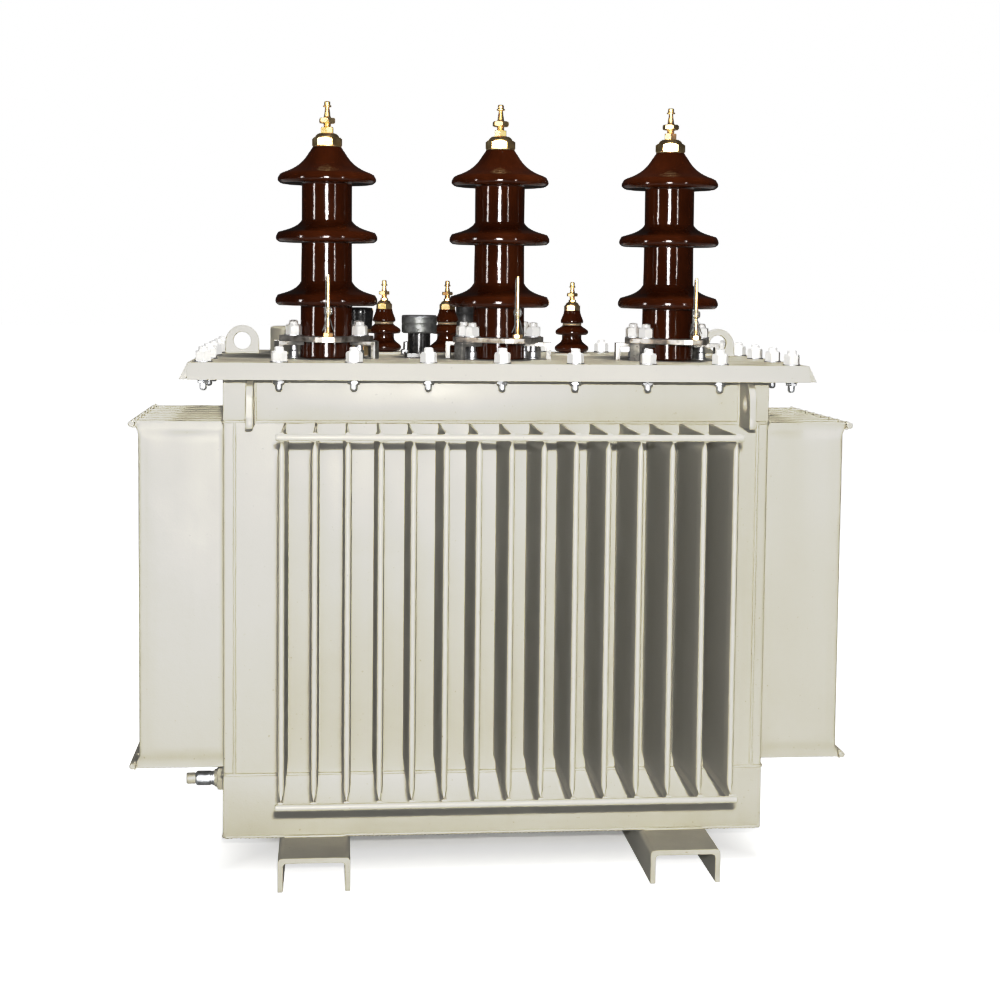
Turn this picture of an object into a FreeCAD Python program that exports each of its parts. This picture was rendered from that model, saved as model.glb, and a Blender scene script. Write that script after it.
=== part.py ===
import FreeCAD, Part
import math
import os

import Sketcher
from FreeCAD import Placement, Rotation, Vector

# Oil-filled three-phase power transformer. Millimetres, +Z up, origin on the floor under the
# middle of the tank, front towards -Y.

doc = FreeCAD.newDocument("power_transformer")

# Every size; the sheet below holds them and the features read them from it.
driving = {
    # tank
    "tank_length": 810,
    "tank_width": 392,
    "skirt_height": 95,  # tank bottom to the weld under the fins
    "fin_wall_height": 523,  # between the two welds
    "frame_height": 64,  # upper weld to the flange
    "wall_sheet": 3,
    "band_sheet": 4,  # skirt and upper frame
    "floor_sheet": 6,
    # fins
    "fin_pitch": 45,
    "fin_thick": 10,
    "fin_sheet": 1.5,
    "fin_end_gap": 3,  # fin end to the weld seam
    "fin_pinch": 14,  # flat welded end of a fin
    "long_fin_margin": 85,  # least room from a corner to the first fin, front and rear
    "long_fin_depth": 180,
    "short_fin_margin": 35,
    "short_fin_depth": 130,
    "tie_bar_radius": 5,
    "tie_bar_inset": 3.5,  # fin end to the bar's middle
    "tie_bar_overhang": 3,
    # feet
    "foot_height": 50,
    "foot_width": 104,
    "foot_sheet": 8,
    "foot_length": 584,
    "foot_inset": 135,  # tank side to the middle of a foot
    # rim: flange, gasket and cover
    "flange_thick": 11,
    "flange_reach": 40,  # beyond the tank wall
    "gasket_thick": 5,
    "gasket_inset": 2,
    "cover_thick": 8,
    "cover_reach": 47,  # tank wall to the bend of the cover
    "lip_run": 12,
    "lip_drop": 24,
    "lip_sheet": 9,  # measured level
    # high-voltage bushings
    "hv_pitch": 266,
    "hv_row_offset": 10,
    "hv_row_setback": -55,
    "hv_hole_radius": 28,
    "hv_hole_play": 2,
    "hv_spigot_depth": 24,
    "hv_body_radius": 39,
    "hv_neck_radius": 21,
    "hv_shoulder_radius": 30,
    "hv_shed_radius": 78,
    "hv_top_shed_radius": 75,
    "hv_shed_rim": 15,
    "hv_shed_flare": 20,
    "hv_shed_low": 95,
    "hv_shed_mid": 191,
    "hv_shed_top": 279,
    "hv_shoulder_height": 300,
    "hv_porcelain_height": 321,
    "hv_cap_across": 44,
    "hv_cap_height": 15,
    "hv_nut_across": 22,
    "hv_nut_height": 8,
    "hv_jam_nut_height": 12,
    "hv_stud_radius": 5,
    "hv_stud_tip": 391,
    # clamps of the high-voltage bushings
    "clamp_play": 0.3,
    "clamp_thick": 8,
    "clamp_height": 26,  # cover to the underside of the plate
    "clamp_tip_gap": 33,  # porcelain to a side tip
    "clamp_tip_width": 16,
    "clamp_tail_gap": 37,
    "clamp_end_width": 40,
    "clamp_turn_left": 2,  # degrees, nose turned to the right
    "clamp_turn_middle": 14.5,
    "clamp_turn_right": 20,
    "nose_width": 18,
    "nose_slope": 6,
    "nose_gap": 12,  # shed's edge to the nose
    "stud_gap": 11,
    "stud_deep": 20,
    "stud_radius": 5,
    "stud_play": 0.5,
    "stud_rise": 12,  # over the plate
    "boss_radius": 7.5,
    "boss_height": 12,
    "claw_width": 18,
    "claw_thick": 6,
    "claw_gap": 2,
    "claw_reach": 28,  # stud to the heel
    "claw_heel": 7,
    "rod_radius": 2.5,
    "rod_rise": 98,
    "rod_gap": 6,  # shed's edge to the rod
    "rod_nut_radius": 8,
    "rod_nut_height": 7,
    # low-voltage bushings
    "lv_pitch": 103,
    "lv_first": -163,
    "lv_row_setback": 95,
    "lv_hole_radius": 15,
    "lv_hole_play": 1,
    "lv_spigot_depth": 20,
    "lv_pad_radius": 27,
    "lv_pad_height": 4,
    "lv_foot_radius": 21,
    "lv_body_radius": 17,
    "lv_shed_radius": 28,
    "lv_low_underside": 3,
    "lv_low_rim": 7,
    "lv_low_neck": 19,
    "lv_high_underside": 28,
    "lv_high_rim": 33,
    "lv_seat": 45,
    "lv_ring_radius": 15,
    "lv_ring_thick": 3.5,
    "lv_cone_low_radius": 18,
    "lv_cone_high_radius": 13,
    "lv_cone_height": 21,
    "lv_cap_across": 23,
    "lv_cap_height": 14,
    "lv_nut_across": 16,
    "lv_nut_height": 5.5,
    "lv_nut_gap": 9,
    "lv_stud_radius": 4,
    "lv_stud_rise": 18,
    # lifting eyes on the cover
    "eye_inset": 13,
    "eye_setback": 100,
    "eye_width": 54,
    "eye_height": 45,
    "eye_thick": 10,
    "eye_hole_radius": 14,
    "eye_hole_height": 20,
    # lifting lugs on the tank
    "lug_inset": 41,
    "lug_thick": 10,
    "lug_reach": 67,
    "lug_height": 69,
    "lug_hole_radius": 13,
    "lug_hole_out": 38,
    "lug_hole_drop": 33,
    # filler
    "filler_offset": -112,
    "filler_setback": -30,
    "filler_flange": 46,
    "filler_flange_thick": 8,
    "filler_pipe_radius": 17.5,
    "filler_pipe_height": 38,
    "filler_cap_radius": 27.5,
    "filler_cap_height": 28,
    # other cover fittings
    "pot_inset": 99,
    "pot_setback": 122,
    "pot_radius": 42,
    "pot_height": 44,
    "valve_offset": -202,
    "valve_setback": 50,
    "valve_stem_radius": 13,
    "valve_stem_height": 42,
    "valve_ring_radius": 17,
    "valve_ring_thick": 5,
    "valve_cap_low_radius": 18,
    "valve_cap_high_radius": 21,
    "valve_cap_height": 34,
    "switch_offset": -27,
    "switch_setback": 152,
    "switch_stem_radius": 11,
    "switch_stem_height": 46,
    "switch_head_radius": 16,
    "switch_head_height": 34,
    "earth_offset": -128,
    "earth_setback": 66,
    "earth_radius": 8,
    "earth_height": 22,
    # drain valve on the left wall
    "drain_setback": -110,
    "drain_rise": 66.5,
    "drain_hex_across": 34,
    "drain_hex_length": 18,
    "drain_sleeve_radius": 11,
    "drain_sleeve_length": 28,
    "drain_tip_radius": 8,
    "drain_tip_length": 14,
}

sheet = doc.addObject("Spreadsheet::Sheet", "sizes")
for row, (alias, value) in enumerate(driving.items(), start=1):
    sheet.set("A%d" % row, alias)
    sheet.set("B%d" % row, str(value))
    sheet.setAlias("B%d" % row, alias)
doc.recompute()

# Places that several pieces share, as formulas on the sheet.
TANK_BACK = "sizes.tank_width / 2"
TANK_SIDE = "sizes.tank_length / 2"
LONG_ROOM = "(sizes.tank_length - 2 * sizes.long_fin_margin)"
SHORT_ROOM = "(sizes.tank_width - 2 * sizes.short_fin_margin)"
LONG_FINS = "(floor(%s / sizes.fin_pitch) + 1)" % LONG_ROOM
SHORT_FINS = "(floor(%s / sizes.fin_pitch) + 1)" % SHORT_ROOM
SEAM_LOW = "(sizes.foot_height + sizes.skirt_height)"
SEAM_HIGH = "(sizes.foot_height + sizes.skirt_height + sizes.fin_wall_height)"
FLANGE_UNDER = "(%s + sizes.frame_height)" % SEAM_HIGH
FLANGE_TOP = "(%s + sizes.flange_thick)" % FLANGE_UNDER
COVER_UNDER = "(%s + sizes.gasket_thick)" % FLANGE_TOP
COVER_TOP = "(%s + sizes.cover_thick)" % COVER_UNDER
PLATE_TOP = "(sizes.clamp_height + sizes.clamp_thick)"
STUD_ACROSS = "(sizes.hv_body_radius + sizes.stud_gap)"
STUD_CIRCLE = "sqrt(%s ^ 2 + sizes.stud_deep ^ 2)" % STUD_ACROSS
CLAMP_SIDE = "(sizes.hv_body_radius + sizes.clamp_tip_gap)"
NOSE_REACH = "(sizes.hv_shed_radius + sizes.nose_gap)"
ROD_CIRCLE = "(sizes.hv_shed_radius + sizes.rod_gap)"

subparts = []


def bind(item, formulas):
    for name, formula in formulas.items():
        item.setExpression(name, formula)
    return item


def place(item, across="0", deep="0", up="0"):
    bases = {"Placement.Base.x": across, "Placement.Base.y": deep, "Placement.Base.z": up}
    return bind(item, bases)


def keep(item, label):
    item.Label = label
    subparts.append(item)
    return item


def box(name, length, width, height, across="0", deep="0", up="0"):
    item = doc.addObject("Part::Box", name)
    bind(item, {"Length": length, "Width": width, "Height": height})
    return place(item, across, deep, up)


def cylinder(name, radius, height, across="0", deep="0", up="0"):
    item = doc.addObject("Part::Cylinder", name)
    bind(item, {"Radius": radius, "Height": height})
    return place(item, across, deep, up)


def hexagon(name, acrossFlats, height, across="0", deep="0", up="0"):
    item = doc.addObject("Part::Prism", name)
    item.Polygon = 6
    bind(item, {"Circumradius": "%s / (2 * cos(30))" % acrossFlats, "Height": height})
    return place(item, across, deep, up)


def turned(item, axis, angle):
    item.Placement.Rotation = Rotation(axis, angle)
    return item


def cut(name, base, tool):
    item = doc.addObject("Part::Cut", name)
    item.Base = base
    item.Tool = tool
    return item


def fuse(name, pieces):
    item = doc.addObject("Part::MultiFuse", name)
    item.Shapes = pieces
    return item


def group(name, pieces):
    item = doc.addObject("Part::Compound", name)
    item.Links = pieces
    return item


def planeOf(body, role):
    for feature in body.Origin.OriginFeatures:
        if feature.Role == role:
            return feature
    raise ValueError(role)


def sketchOn(body, role, name):
    sketch = body.newObject("Sketcher::SketchObject", name)
    sketch.AttachmentSupport = [(planeOf(body, role), "")]
    sketch.MapMode = "FlatFace"
    return sketch


def outline(sketch, corners):
    # A closed run of lines: every corner is held by two formulas, measured from the origin.
    count = len(corners)
    first = sketch.GeometryCount
    loose = []
    for number in range(count):
        angle = 2 * math.pi * number / count
        loose.append(Vector(200 + 100 * math.cos(angle), 200 + 100 * math.sin(angle), 0))
    for number in range(count):
        sketch.addGeometry(Part.LineSegment(loose[number], loose[(number + 1) % count]), False)
    for number in range(count):
        following = first + (number + 1) % count
        sketch.addConstraint(Sketcher.Constraint("Coincident", first + number, 2, following, 1))
    for number, (across, up) in enumerate(corners):
        line = first + number
        for kind, axis, formula, start in (
            ("DistanceX", -2, across, loose[number].x),
            ("DistanceY", -1, up, loose[number].y),
        ):
            if formula == "0":
                sketch.addConstraint(Sketcher.Constraint("PointOnObject", line, 1, axis))
                continue
            spot = sketch.addConstraint(Sketcher.Constraint(kind, -1, 1, line, 1, start))
            sketch.setExpression("Constraints[%d]" % spot, formula)
    return sketch


def ring(sketch, across, up, radius):
    circle = sketch.addGeometry(Part.Circle(Vector(50, 50, 0), Vector(0, 0, 1), 10), False)
    for kind, formula in (("DistanceX", across), ("DistanceY", up)):
        spot = sketch.addConstraint(Sketcher.Constraint(kind, -1, 1, circle, 3, 50.0))
        sketch.setExpression("Constraints[%d]" % spot, formula)
    spot = sketch.addConstraint(Sketcher.Constraint("Radius", circle, 10.0))
    sketch.setExpression("Constraints[%d]" % spot, radius)
    return sketch


def pad(body, name, sketch, length):
    feature = body.newObject("PartDesign::Pad", name)
    feature.Profile = sketch
    return bind(feature, {"Length": length})


def pocket(body, name, sketch, length):
    feature = body.newObject("PartDesign::Pocket", name)
    feature.Profile = sketch
    return bind(feature, {"Length": length})


def lathe(label, corners, across, deep, up):
    body = doc.addObject("PartDesign::Body", label)
    sketch = outline(sketchOn(body, "XZ_Plane", label + "_profile"), corners)
    turn = body.newObject("PartDesign::Revolution", label + "_turn")
    turn.Profile = sketch
    turn.ReferenceAxis = (sketch, ["V_Axis"])
    turn.Angle = 360
    place(body, across, deep, up)
    return body


def rectFrame(name, outerLength, outerWidth, innerLength, innerWidth, height, up):
    # A four-sided ring lying level, centred on the tank.
    outer = box(
        name + "_outer", outerLength, outerWidth, height,
        "-(%s) / 2" % outerLength, "-(%s) / 2" % outerWidth, up,
    )
    inner = box(
        name + "_inner", innerLength, innerWidth, height,
        "-(%s) / 2" % innerLength, "-(%s) / 2" % innerWidth, up,
    )
    return cut(name, outer, inner)


# ---------------------------------------------------------------- feet
def makeFeet():
    for side, name in ((-1, "left_foot_channel"), (1, "right_foot_channel")):
        across = "%d * (%s - sizes.foot_inset) - sizes.foot_width / 2" % (side, TANK_SIDE)
        bar = box(
            name + "_bar", "sizes.foot_width", "sizes.foot_length", "sizes.foot_height",
            across, "-sizes.foot_length / 2",
        )
        trough = box(
            name + "_trough", "sizes.foot_width - 2 * sizes.foot_sheet", "sizes.foot_length",
            "sizes.foot_height - sizes.foot_sheet",
            across + " + sizes.foot_sheet", "-sizes.foot_length / 2",
        )
        keep(cut(name, bar, trough), name)


# ---------------------------------------------------------------- tank
def makeTankShell():
    inner = "%s - 2 * sizes.band_sheet"
    floor = box(
        "tank_floor", inner % "sizes.tank_length", inner % "sizes.tank_width",
        "sizes.floor_sheet", "sizes.band_sheet - " + TANK_SIDE,
        "sizes.band_sheet - " + TANK_BACK, "sizes.foot_height",
    )
    keep(floor, "tank_floor")
    skirt = rectFrame(
        "lower_skirt", "sizes.tank_length", "sizes.tank_width",
        inner % "sizes.tank_length", inner % "sizes.tank_width",
        "sizes.skirt_height", "sizes.foot_height",
    )
    keep(skirt, "lower_skirt")
    frame = rectFrame(
        "upper_frame", "sizes.tank_length", "sizes.tank_width",
        inner % "sizes.tank_length", inner % "sizes.tank_width",
        "sizes.frame_height", SEAM_HIGH,
    )
    keep(frame, "upper_frame")


def makeFinWall(label, length, count, depth, angle, across, deep):
    # Own frame: X along the wall, Y outwards from the inner face, Z up from the lower seam.
    body = doc.addObject("PartDesign::Body", label)
    tall = "sizes.fin_wall_height"
    sheetEdge = "sizes.wall_sheet"
    plan = outline(
        sketchOn(body, "XY_Plane", label + "_sheet"),
        [("0", "0"), (length, "0"), (length, sheetEdge), ("0", sheetEdge)],
    )
    pad(body, label + "_sheet_pad", plan, tall)

    near = "(%s) / 2 - sizes.fin_pitch * (%s - 1) / 2 - sizes.fin_thick / 2" % (length, count)
    far = near + " + sizes.fin_thick"
    tip = "sizes.wall_sheet + " + depth
    root = "sizes.wall_sheet / 2"
    finPlan = outline(
        sketchOn(body, "XY_Plane", label + "_fin"),
        [(near, root), (far, root), (far, tip), (near, tip)],
    )
    bind(finPlan, {"AttachmentOffset.Base.z": "sizes.fin_end_gap"})
    fin = pad(body, label + "_fin_pad", finPlan, tall + " - 2 * sizes.fin_end_gap")

    low = "sizes.fin_end_gap + sizes.fin_pinch"
    high = tall + " - " + "sizes.fin_end_gap - sizes.fin_pinch"
    bay = outline(
        sketchOn(body, "XZ_Plane", label + "_bay"),
        [
            (near + " + sizes.fin_sheet", low),
            (far + " - sizes.fin_sheet", low),
            (far + " - sizes.fin_sheet", high),
            (near + " + sizes.fin_sheet", high),
        ],
    )
    hollow = pocket(body, label + "_hollow", bay, tip + " - sizes.fin_sheet")

    row = body.newObject("PartDesign::LinearPattern", label + "_row")
    row.Originals = [fin, hollow]
    row.Direction = (plan, ["H_Axis"])
    bind(row, {"Length": "sizes.fin_pitch * (%s - 1)" % count, "Occurrences": count})
    body.Tip = row

    turned(body, Vector(0, 0, 1), angle)
    place(body, across, deep, SEAM_LOW)
    keep(body, label)


def makeFinWalls():
    innerWidth = "sizes.tank_width - 2 * sizes.wall_sheet"
    innerBack = TANK_BACK + " - sizes.wall_sheet"
    innerSide = TANK_SIDE + " - sizes.wall_sheet"
    makeFinWall(
        "front_fin_wall", "sizes.tank_length", LONG_FINS, "sizes.long_fin_depth",
        180, TANK_SIDE, "-(%s)" % innerBack,
    )
    makeFinWall(
        "rear_fin_wall", "sizes.tank_length", LONG_FINS, "sizes.long_fin_depth",
        0, "-" + TANK_SIDE, innerBack,
    )
    makeFinWall(
        "left_fin_wall", innerWidth, SHORT_FINS, "sizes.short_fin_depth",
        90, "-(%s)" % innerSide, "-(%s)" % innerBack,
    )
    makeFinWall(
        "right_fin_wall", innerWidth, SHORT_FINS, "sizes.short_fin_depth",
        -90, innerSide, innerBack,
    )


def makeTieBars():
    levels = (
        SEAM_LOW + " + sizes.fin_end_gap + sizes.tie_bar_inset",
        SEAM_HIGH + " - sizes.fin_end_gap - sizes.tie_bar_inset",
    )
    sides = (
        ("front_tie_bars", LONG_FINS, "sizes.long_fin_depth", TANK_BACK, 0, -1),
        ("rear_tie_bars", LONG_FINS, "sizes.long_fin_depth", TANK_BACK, 0, 1),
        ("left_tie_bars", SHORT_FINS, "sizes.short_fin_depth", TANK_SIDE, 1, -1),
        ("right_tie_bars", SHORT_FINS, "sizes.short_fin_depth", TANK_SIDE, 1, 1),
    )
    for name, count, depth, wall, alongY, way in sides:
        half = "(sizes.fin_pitch * (%s - 1) + sizes.fin_thick) / 2" % count
        half = "(%s + sizes.tie_bar_overhang)" % half
        out = "%d * (%s + %s + sizes.tie_bar_radius)" % (way, wall, depth)
        bars = []
        for number, level in enumerate(levels):
            bar = cylinder("%s_%d" % (name, number), "sizes.tie_bar_radius", "2 * " + half)
            if alongY:
                turned(bar, Vector(1, 0, 0), -90)
                place(bar, out, "-" + half, level)
            else:
                turned(bar, Vector(0, 1, 0), 90)
                place(bar, "-" + half, out, level)
            bars.append(bar)
        keep(group(name, bars), name)


# ---------------------------------------------------------------- rim and cover
def makeRim():
    inner = "%s - 2 * sizes.band_sheet"
    flange = rectFrame(
        "tank_flange",
        "sizes.tank_length + 2 * sizes.flange_reach", "sizes.tank_width + 2 * sizes.flange_reach",
        inner % "sizes.tank_length", inner % "sizes.tank_width",
        "sizes.flange_thick", FLANGE_UNDER,
    )
    keep(flange, "tank_flange")
    reach = "%s + 2 * (sizes.flange_reach - sizes.gasket_inset)"
    gasket = rectFrame(
        "cover_gasket", reach % "sizes.tank_length", reach % "sizes.tank_width",
        inner % "sizes.tank_length", inner % "sizes.tank_width",
        "sizes.gasket_thick", FLANGE_TOP,
    )
    keep(gasket, "cover_gasket")


def lipProfile(body, role, name, span):
    # Section across the cover: flat plate with a lip that slopes down and out at both ends.
    # Own X runs from the outer edge of one lip to the other, own Y up from the lips' lower edge.
    whole = "(%s + 2 * sizes.cover_reach + 2 * sizes.lip_run)" % span
    under = "sizes.lip_drop - sizes.cover_thick"
    inset = "(sizes.lip_sheet + sizes.lip_run * (%s) / sizes.lip_drop)" % under
    corners = [
        ("0", "0"),
        ("sizes.lip_sheet", "0"),
        (inset, under),
        (whole + " - " + inset, under),
        (whole + " - sizes.lip_sheet", "0"),
        (whole, "0"),
        (whole + " - sizes.lip_run", "sizes.lip_drop"),
        ("sizes.lip_run", "sizes.lip_drop"),
    ]
    return outline(sketchOn(body, role, name), corners)


def makeCover():
    body = doc.addObject("PartDesign::Body", "cover_plate")
    flatLength = "(sizes.tank_length + 2 * sizes.cover_reach)"
    flatWidth = "(sizes.tank_width + 2 * sizes.cover_reach)"
    originX = "(-%s / 2 - sizes.lip_run)" % flatLength
    originY = "(-%s / 2 - sizes.lip_run)" % flatWidth

    alongX = lipProfile(body, "XZ_Plane", "cover_section_long", "sizes.tank_length")
    bind(alongX, {"AttachmentOffset.Base.z": "-(sizes.lip_run + %s)" % flatWidth})
    pad(body, "cover_long", alongX, flatWidth)
    alongY = lipProfile(body, "YZ_Plane", "cover_section_wide", "sizes.tank_width")
    bind(alongY, {"AttachmentOffset.Base.z": "sizes.lip_run"})
    pad(body, "cover_wide", alongY, flatLength)

    pads = sketchOn(body, "XY_Plane", "lv_pads")
    bind(pads, {"AttachmentOffset.Base.z": "sizes.lip_drop"})
    for number in range(4):
        across = "sizes.lv_first + %d * sizes.lv_pitch - %s" % (number, originX)
        ring(pads, across, "sizes.lv_row_setback - %s" % originY, "sizes.lv_pad_radius")
    pad(body, "lv_pad", pads, "sizes.lv_pad_height")

    holes = sketchOn(body, "XY_Plane", "bushing_holes")
    bind(holes, {"AttachmentOffset.Base.z": "sizes.lip_drop + sizes.lv_pad_height"})
    for number in range(3):
        across = "sizes.hv_row_offset + %d * sizes.hv_pitch - %s" % (number - 1, originX)
        ring(holes, across, "sizes.hv_row_setback - %s" % originY, "sizes.hv_hole_radius")
    for number in range(4):
        across = "sizes.lv_first + %d * sizes.lv_pitch - %s" % (number, originX)
        ring(holes, across, "sizes.lv_row_setback - %s" % originY, "sizes.lv_hole_radius")
    pocket(body, "bushing_hole", holes, "sizes.lv_pad_height + sizes.cover_thick + 1")

    place(body, originX, originY, COVER_TOP + " - sizes.lip_drop")
    keep(body, "cover_plate")


# ---------------------------------------------------------------- high-voltage bushings
def shedCorners(height, radius):
    # Flare down to the rim, then back in to the body.
    return [
        ("sizes.hv_body_radius", "%s + sizes.hv_shed_flare" % height),
        ("sizes.hv_body_radius + (%s - sizes.hv_body_radius) * 0.4" % radius,
         "%s + sizes.hv_shed_flare * 0.35" % height),
        (radius, height),
        (radius, "%s - sizes.hv_shed_rim" % height),
        ("sizes.hv_body_radius", "%s - sizes.hv_shed_rim" % height),
    ]


def makeHvPorcelain(label, across):
    # Own Z starts at the lower end of the spigot.
    base = "sizes.hv_spigot_depth"
    spigot = "sizes.hv_hole_radius - sizes.hv_hole_play"
    corners = [
        ("0", base + " + sizes.hv_porcelain_height"),
        ("sizes.hv_neck_radius", base + " + sizes.hv_porcelain_height"),
        ("sizes.hv_shoulder_radius", base + " + sizes.hv_shoulder_height"),
    ]
    top = shedCorners(base + " + sizes.hv_shed_top", "sizes.hv_top_shed_radius")[1:]
    corners += top
    corners += shedCorners(base + " + sizes.hv_shed_mid", "sizes.hv_shed_radius")
    corners += shedCorners(base + " + sizes.hv_shed_low", "sizes.hv_shed_radius")
    corners += [
        ("sizes.hv_body_radius", base),
        (spigot, base),
        (spigot, "0"),
        ("0", "0"),
    ]
    body = lathe(label, corners, across, "sizes.hv_row_setback", COVER_TOP + " - " + base)
    keep(body, label)


def makeHvTerminal(label, across):
    deep = "sizes.hv_row_setback"
    seat = COVER_TOP + " + sizes.hv_porcelain_height"
    capTop = seat + " + sizes.hv_cap_height"
    jamTop = capTop + " + sizes.hv_jam_nut_height"
    cap = hexagon(label + "_cap", "sizes.hv_cap_across", "sizes.hv_cap_height", across, deep, seat)
    jam = hexagon(
        label + "_jam_nut", "sizes.hv_nut_across * 0.8", "sizes.hv_jam_nut_height",
        across, deep, capTop,
    )
    nut = hexagon(
        label + "_nut", "sizes.hv_nut_across", "sizes.hv_nut_height",
        across, deep, jamTop + " + sizes.hv_nut_height * 0.75",
    )
    stud = cylinder(
        label + "_stud", "sizes.hv_stud_radius",
        "sizes.hv_stud_tip - sizes.hv_porcelain_height", across, deep, seat,
    )
    keep(fuse(label, [cap, jam, nut, stud]), label)


def makeClampPlate(label, across, turn):
    # A diamond with blunt tips at both sides and a nose at the front, round the porcelain.
    body = doc.addObject("PartDesign::Body", label)
    corner = {"AttachmentOffset.Base.x": "-" + CLAMP_SIDE,
              "AttachmentOffset.Base.y": "-" + NOSE_REACH}
    middle = CLAMP_SIDE
    right = []
    for out, back in (
        ("sizes.nose_width / 2", "0"),
        ("sizes.clamp_end_width / 2", "sizes.nose_slope"),
        (CLAMP_SIDE, NOSE_REACH + " - sizes.clamp_tip_width / 2"),
        (CLAMP_SIDE, NOSE_REACH + " + sizes.clamp_tip_width / 2"),
        ("sizes.clamp_end_width / 2",
         NOSE_REACH + " + sizes.hv_body_radius + sizes.clamp_tail_gap"),
    ):
        right.append((out, back))
    corners = [("%s + %s" % (middle, out), back) for out, back in right]
    for out, back in reversed(right):
        flush = out == CLAMP_SIDE
        corners.append(("0" if flush else "%s - %s" % (middle, out), back))
    outlineSketch = outline(sketchOn(body, "XY_Plane", label + "_outline"), corners)
    bind(outlineSketch, corner)
    pad(body, label + "_pad", outlineSketch, "sizes.clamp_thick")

    holes = sketchOn(body, "XY_Plane", label + "_holes")
    bind(holes, corner)
    bind(holes, {"AttachmentOffset.Base.z": "sizes.clamp_thick"})
    ring(holes, middle, NOSE_REACH, "sizes.hv_body_radius + sizes.clamp_play")
    for sideX in (-1, 1):
        for sideY in (-1, 1):
            ring(
                holes, "%s + %d * %s" % (middle, sideX, STUD_ACROSS),
                "%s + %d * sizes.stud_deep" % (NOSE_REACH, sideY),
                "sizes.stud_radius + sizes.stud_play",
            )
    pocket(body, label + "_bores", holes, "sizes.clamp_thick")
    turned(body, Vector(0, 0, 1), driving[turn])
    place(body, across, "sizes.hv_row_setback", COVER_TOP + " + sizes.clamp_height")
    keep(body, label)


def studAngles():
    # Directions of the four studs from the bushing's axis, before the clamp is turned.
    across = driving["hv_body_radius"] + driving["stud_gap"]
    slant = math.degrees(math.atan2(driving["stud_deep"], across))
    return (slant, 180 - slant, 180 + slant, 360 - slant)


def makeClaw(name, across, angle):
    inner = "(sizes.hv_body_radius + sizes.claw_gap)"
    outer = "(%s + sizes.claw_reach)" % STUD_CIRCLE
    strap = box(
        name + "_strap", "%s - %s" % (outer, inner), "sizes.claw_width",
        "sizes.claw_thick", inner, "-sizes.claw_width / 2",
        "sizes.clamp_height - sizes.claw_thick",
    )
    heel = box(
        name + "_heel", "sizes.claw_heel", "sizes.claw_width", "sizes.clamp_height",
        outer + " - sizes.claw_heel", "-sizes.claw_width / 2",
    )
    hole = cylinder(
        name + "_hole", "sizes.stud_radius + sizes.stud_play", "sizes.clamp_height",
        STUD_CIRCLE,
    )
    claw = cut(name, fuse(name + "_blank", [strap, heel]), hole)
    turned(claw, Vector(0, 0, 1), angle)
    return place(claw, across, "sizes.hv_row_setback", COVER_TOP)


def makeStud(name, across, angle):
    boss = cylinder(name + "_boss", "sizes.boss_radius", "sizes.boss_height", STUD_CIRCLE)
    shank = cylinder(name + "_shank", "sizes.stud_radius", PLATE_TOP + " + sizes.stud_rise",
                     STUD_CIRCLE)
    stud = fuse(name, [boss, shank])
    turned(stud, Vector(0, 0, 1), angle)
    return place(stud, across, "sizes.hv_row_setback", COVER_TOP)


def makeArcingRod(name, across, turn):
    nut = doc.addObject("Part::Prism", name + "_nut")
    nut.Polygon = 6
    bind(nut, {"Circumradius": "sizes.rod_nut_radius", "Height": "sizes.rod_nut_height"})
    place(nut, "0", "-" + ROD_CIRCLE, PLATE_TOP)
    rod = cylinder(name + "_rod", "sizes.rod_radius", "sizes.rod_rise", "0", "-" + ROD_CIRCLE,
                   PLATE_TOP)
    whole = fuse(name, [nut, rod])
    turned(whole, Vector(0, 0, 1), driving[turn])
    return place(whole, across, "sizes.hv_row_setback", COVER_TOP)


def makeHvRow():
    claws = []
    studs = []
    rods = []
    for number, phase in enumerate(("left", "middle", "right")):
        across = "sizes.hv_row_offset + %d * sizes.hv_pitch" % (number - 1)
        turn = "clamp_turn_" + phase
        makeHvPorcelain("hv_porcelain_" + phase, across)
        makeHvTerminal("hv_terminal_" + phase, across)
        makeClampPlate("hv_clamp_plate_" + phase, across, turn)
        for corner, angle in enumerate(studAngles()):
            facing = driving[turn] + angle
            claws.append(makeClaw("claw_%s_%d" % (phase, corner), across, facing))
            studs.append(makeStud("clamp_stud_%s_%d" % (phase, corner), across, facing))
        rods.append(makeArcingRod("rod_" + phase, across, turn))
    keep(group("hv_clamp_claws", claws), "hv_clamp_claws")
    keep(group("hv_clamp_studs", studs), "hv_clamp_studs")
    keep(group("arcing_rods", rods), "arcing_rods")


# ---------------------------------------------------------------- low-voltage bushings
def makeLvPorcelain(label, across):
    base = "sizes.lv_spigot_depth"
    spigot = "sizes.lv_hole_radius - sizes.lv_hole_play"
    corners = [
        ("0", base + " + sizes.lv_seat"),
        ("sizes.lv_ring_radius", base + " + sizes.lv_seat"),
        ("sizes.lv_shed_radius", base + " + sizes.lv_high_rim"),
        ("sizes.lv_body_radius", base + " + sizes.lv_high_underside"),
        ("sizes.lv_body_radius", base + " + sizes.lv_low_neck"),
        ("sizes.lv_shed_radius", base + " + sizes.lv_low_rim"),
        ("sizes.lv_foot_radius", base + " + sizes.lv_low_underside"),
        ("sizes.lv_foot_radius", base),
        (spigot, base),
        (spigot, "0"),
        ("0", "0"),
    ]
    up = COVER_TOP + " + sizes.lv_pad_height - " + base
    keep(lathe(label, corners, across, "sizes.lv_row_setback", up), label)


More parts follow.
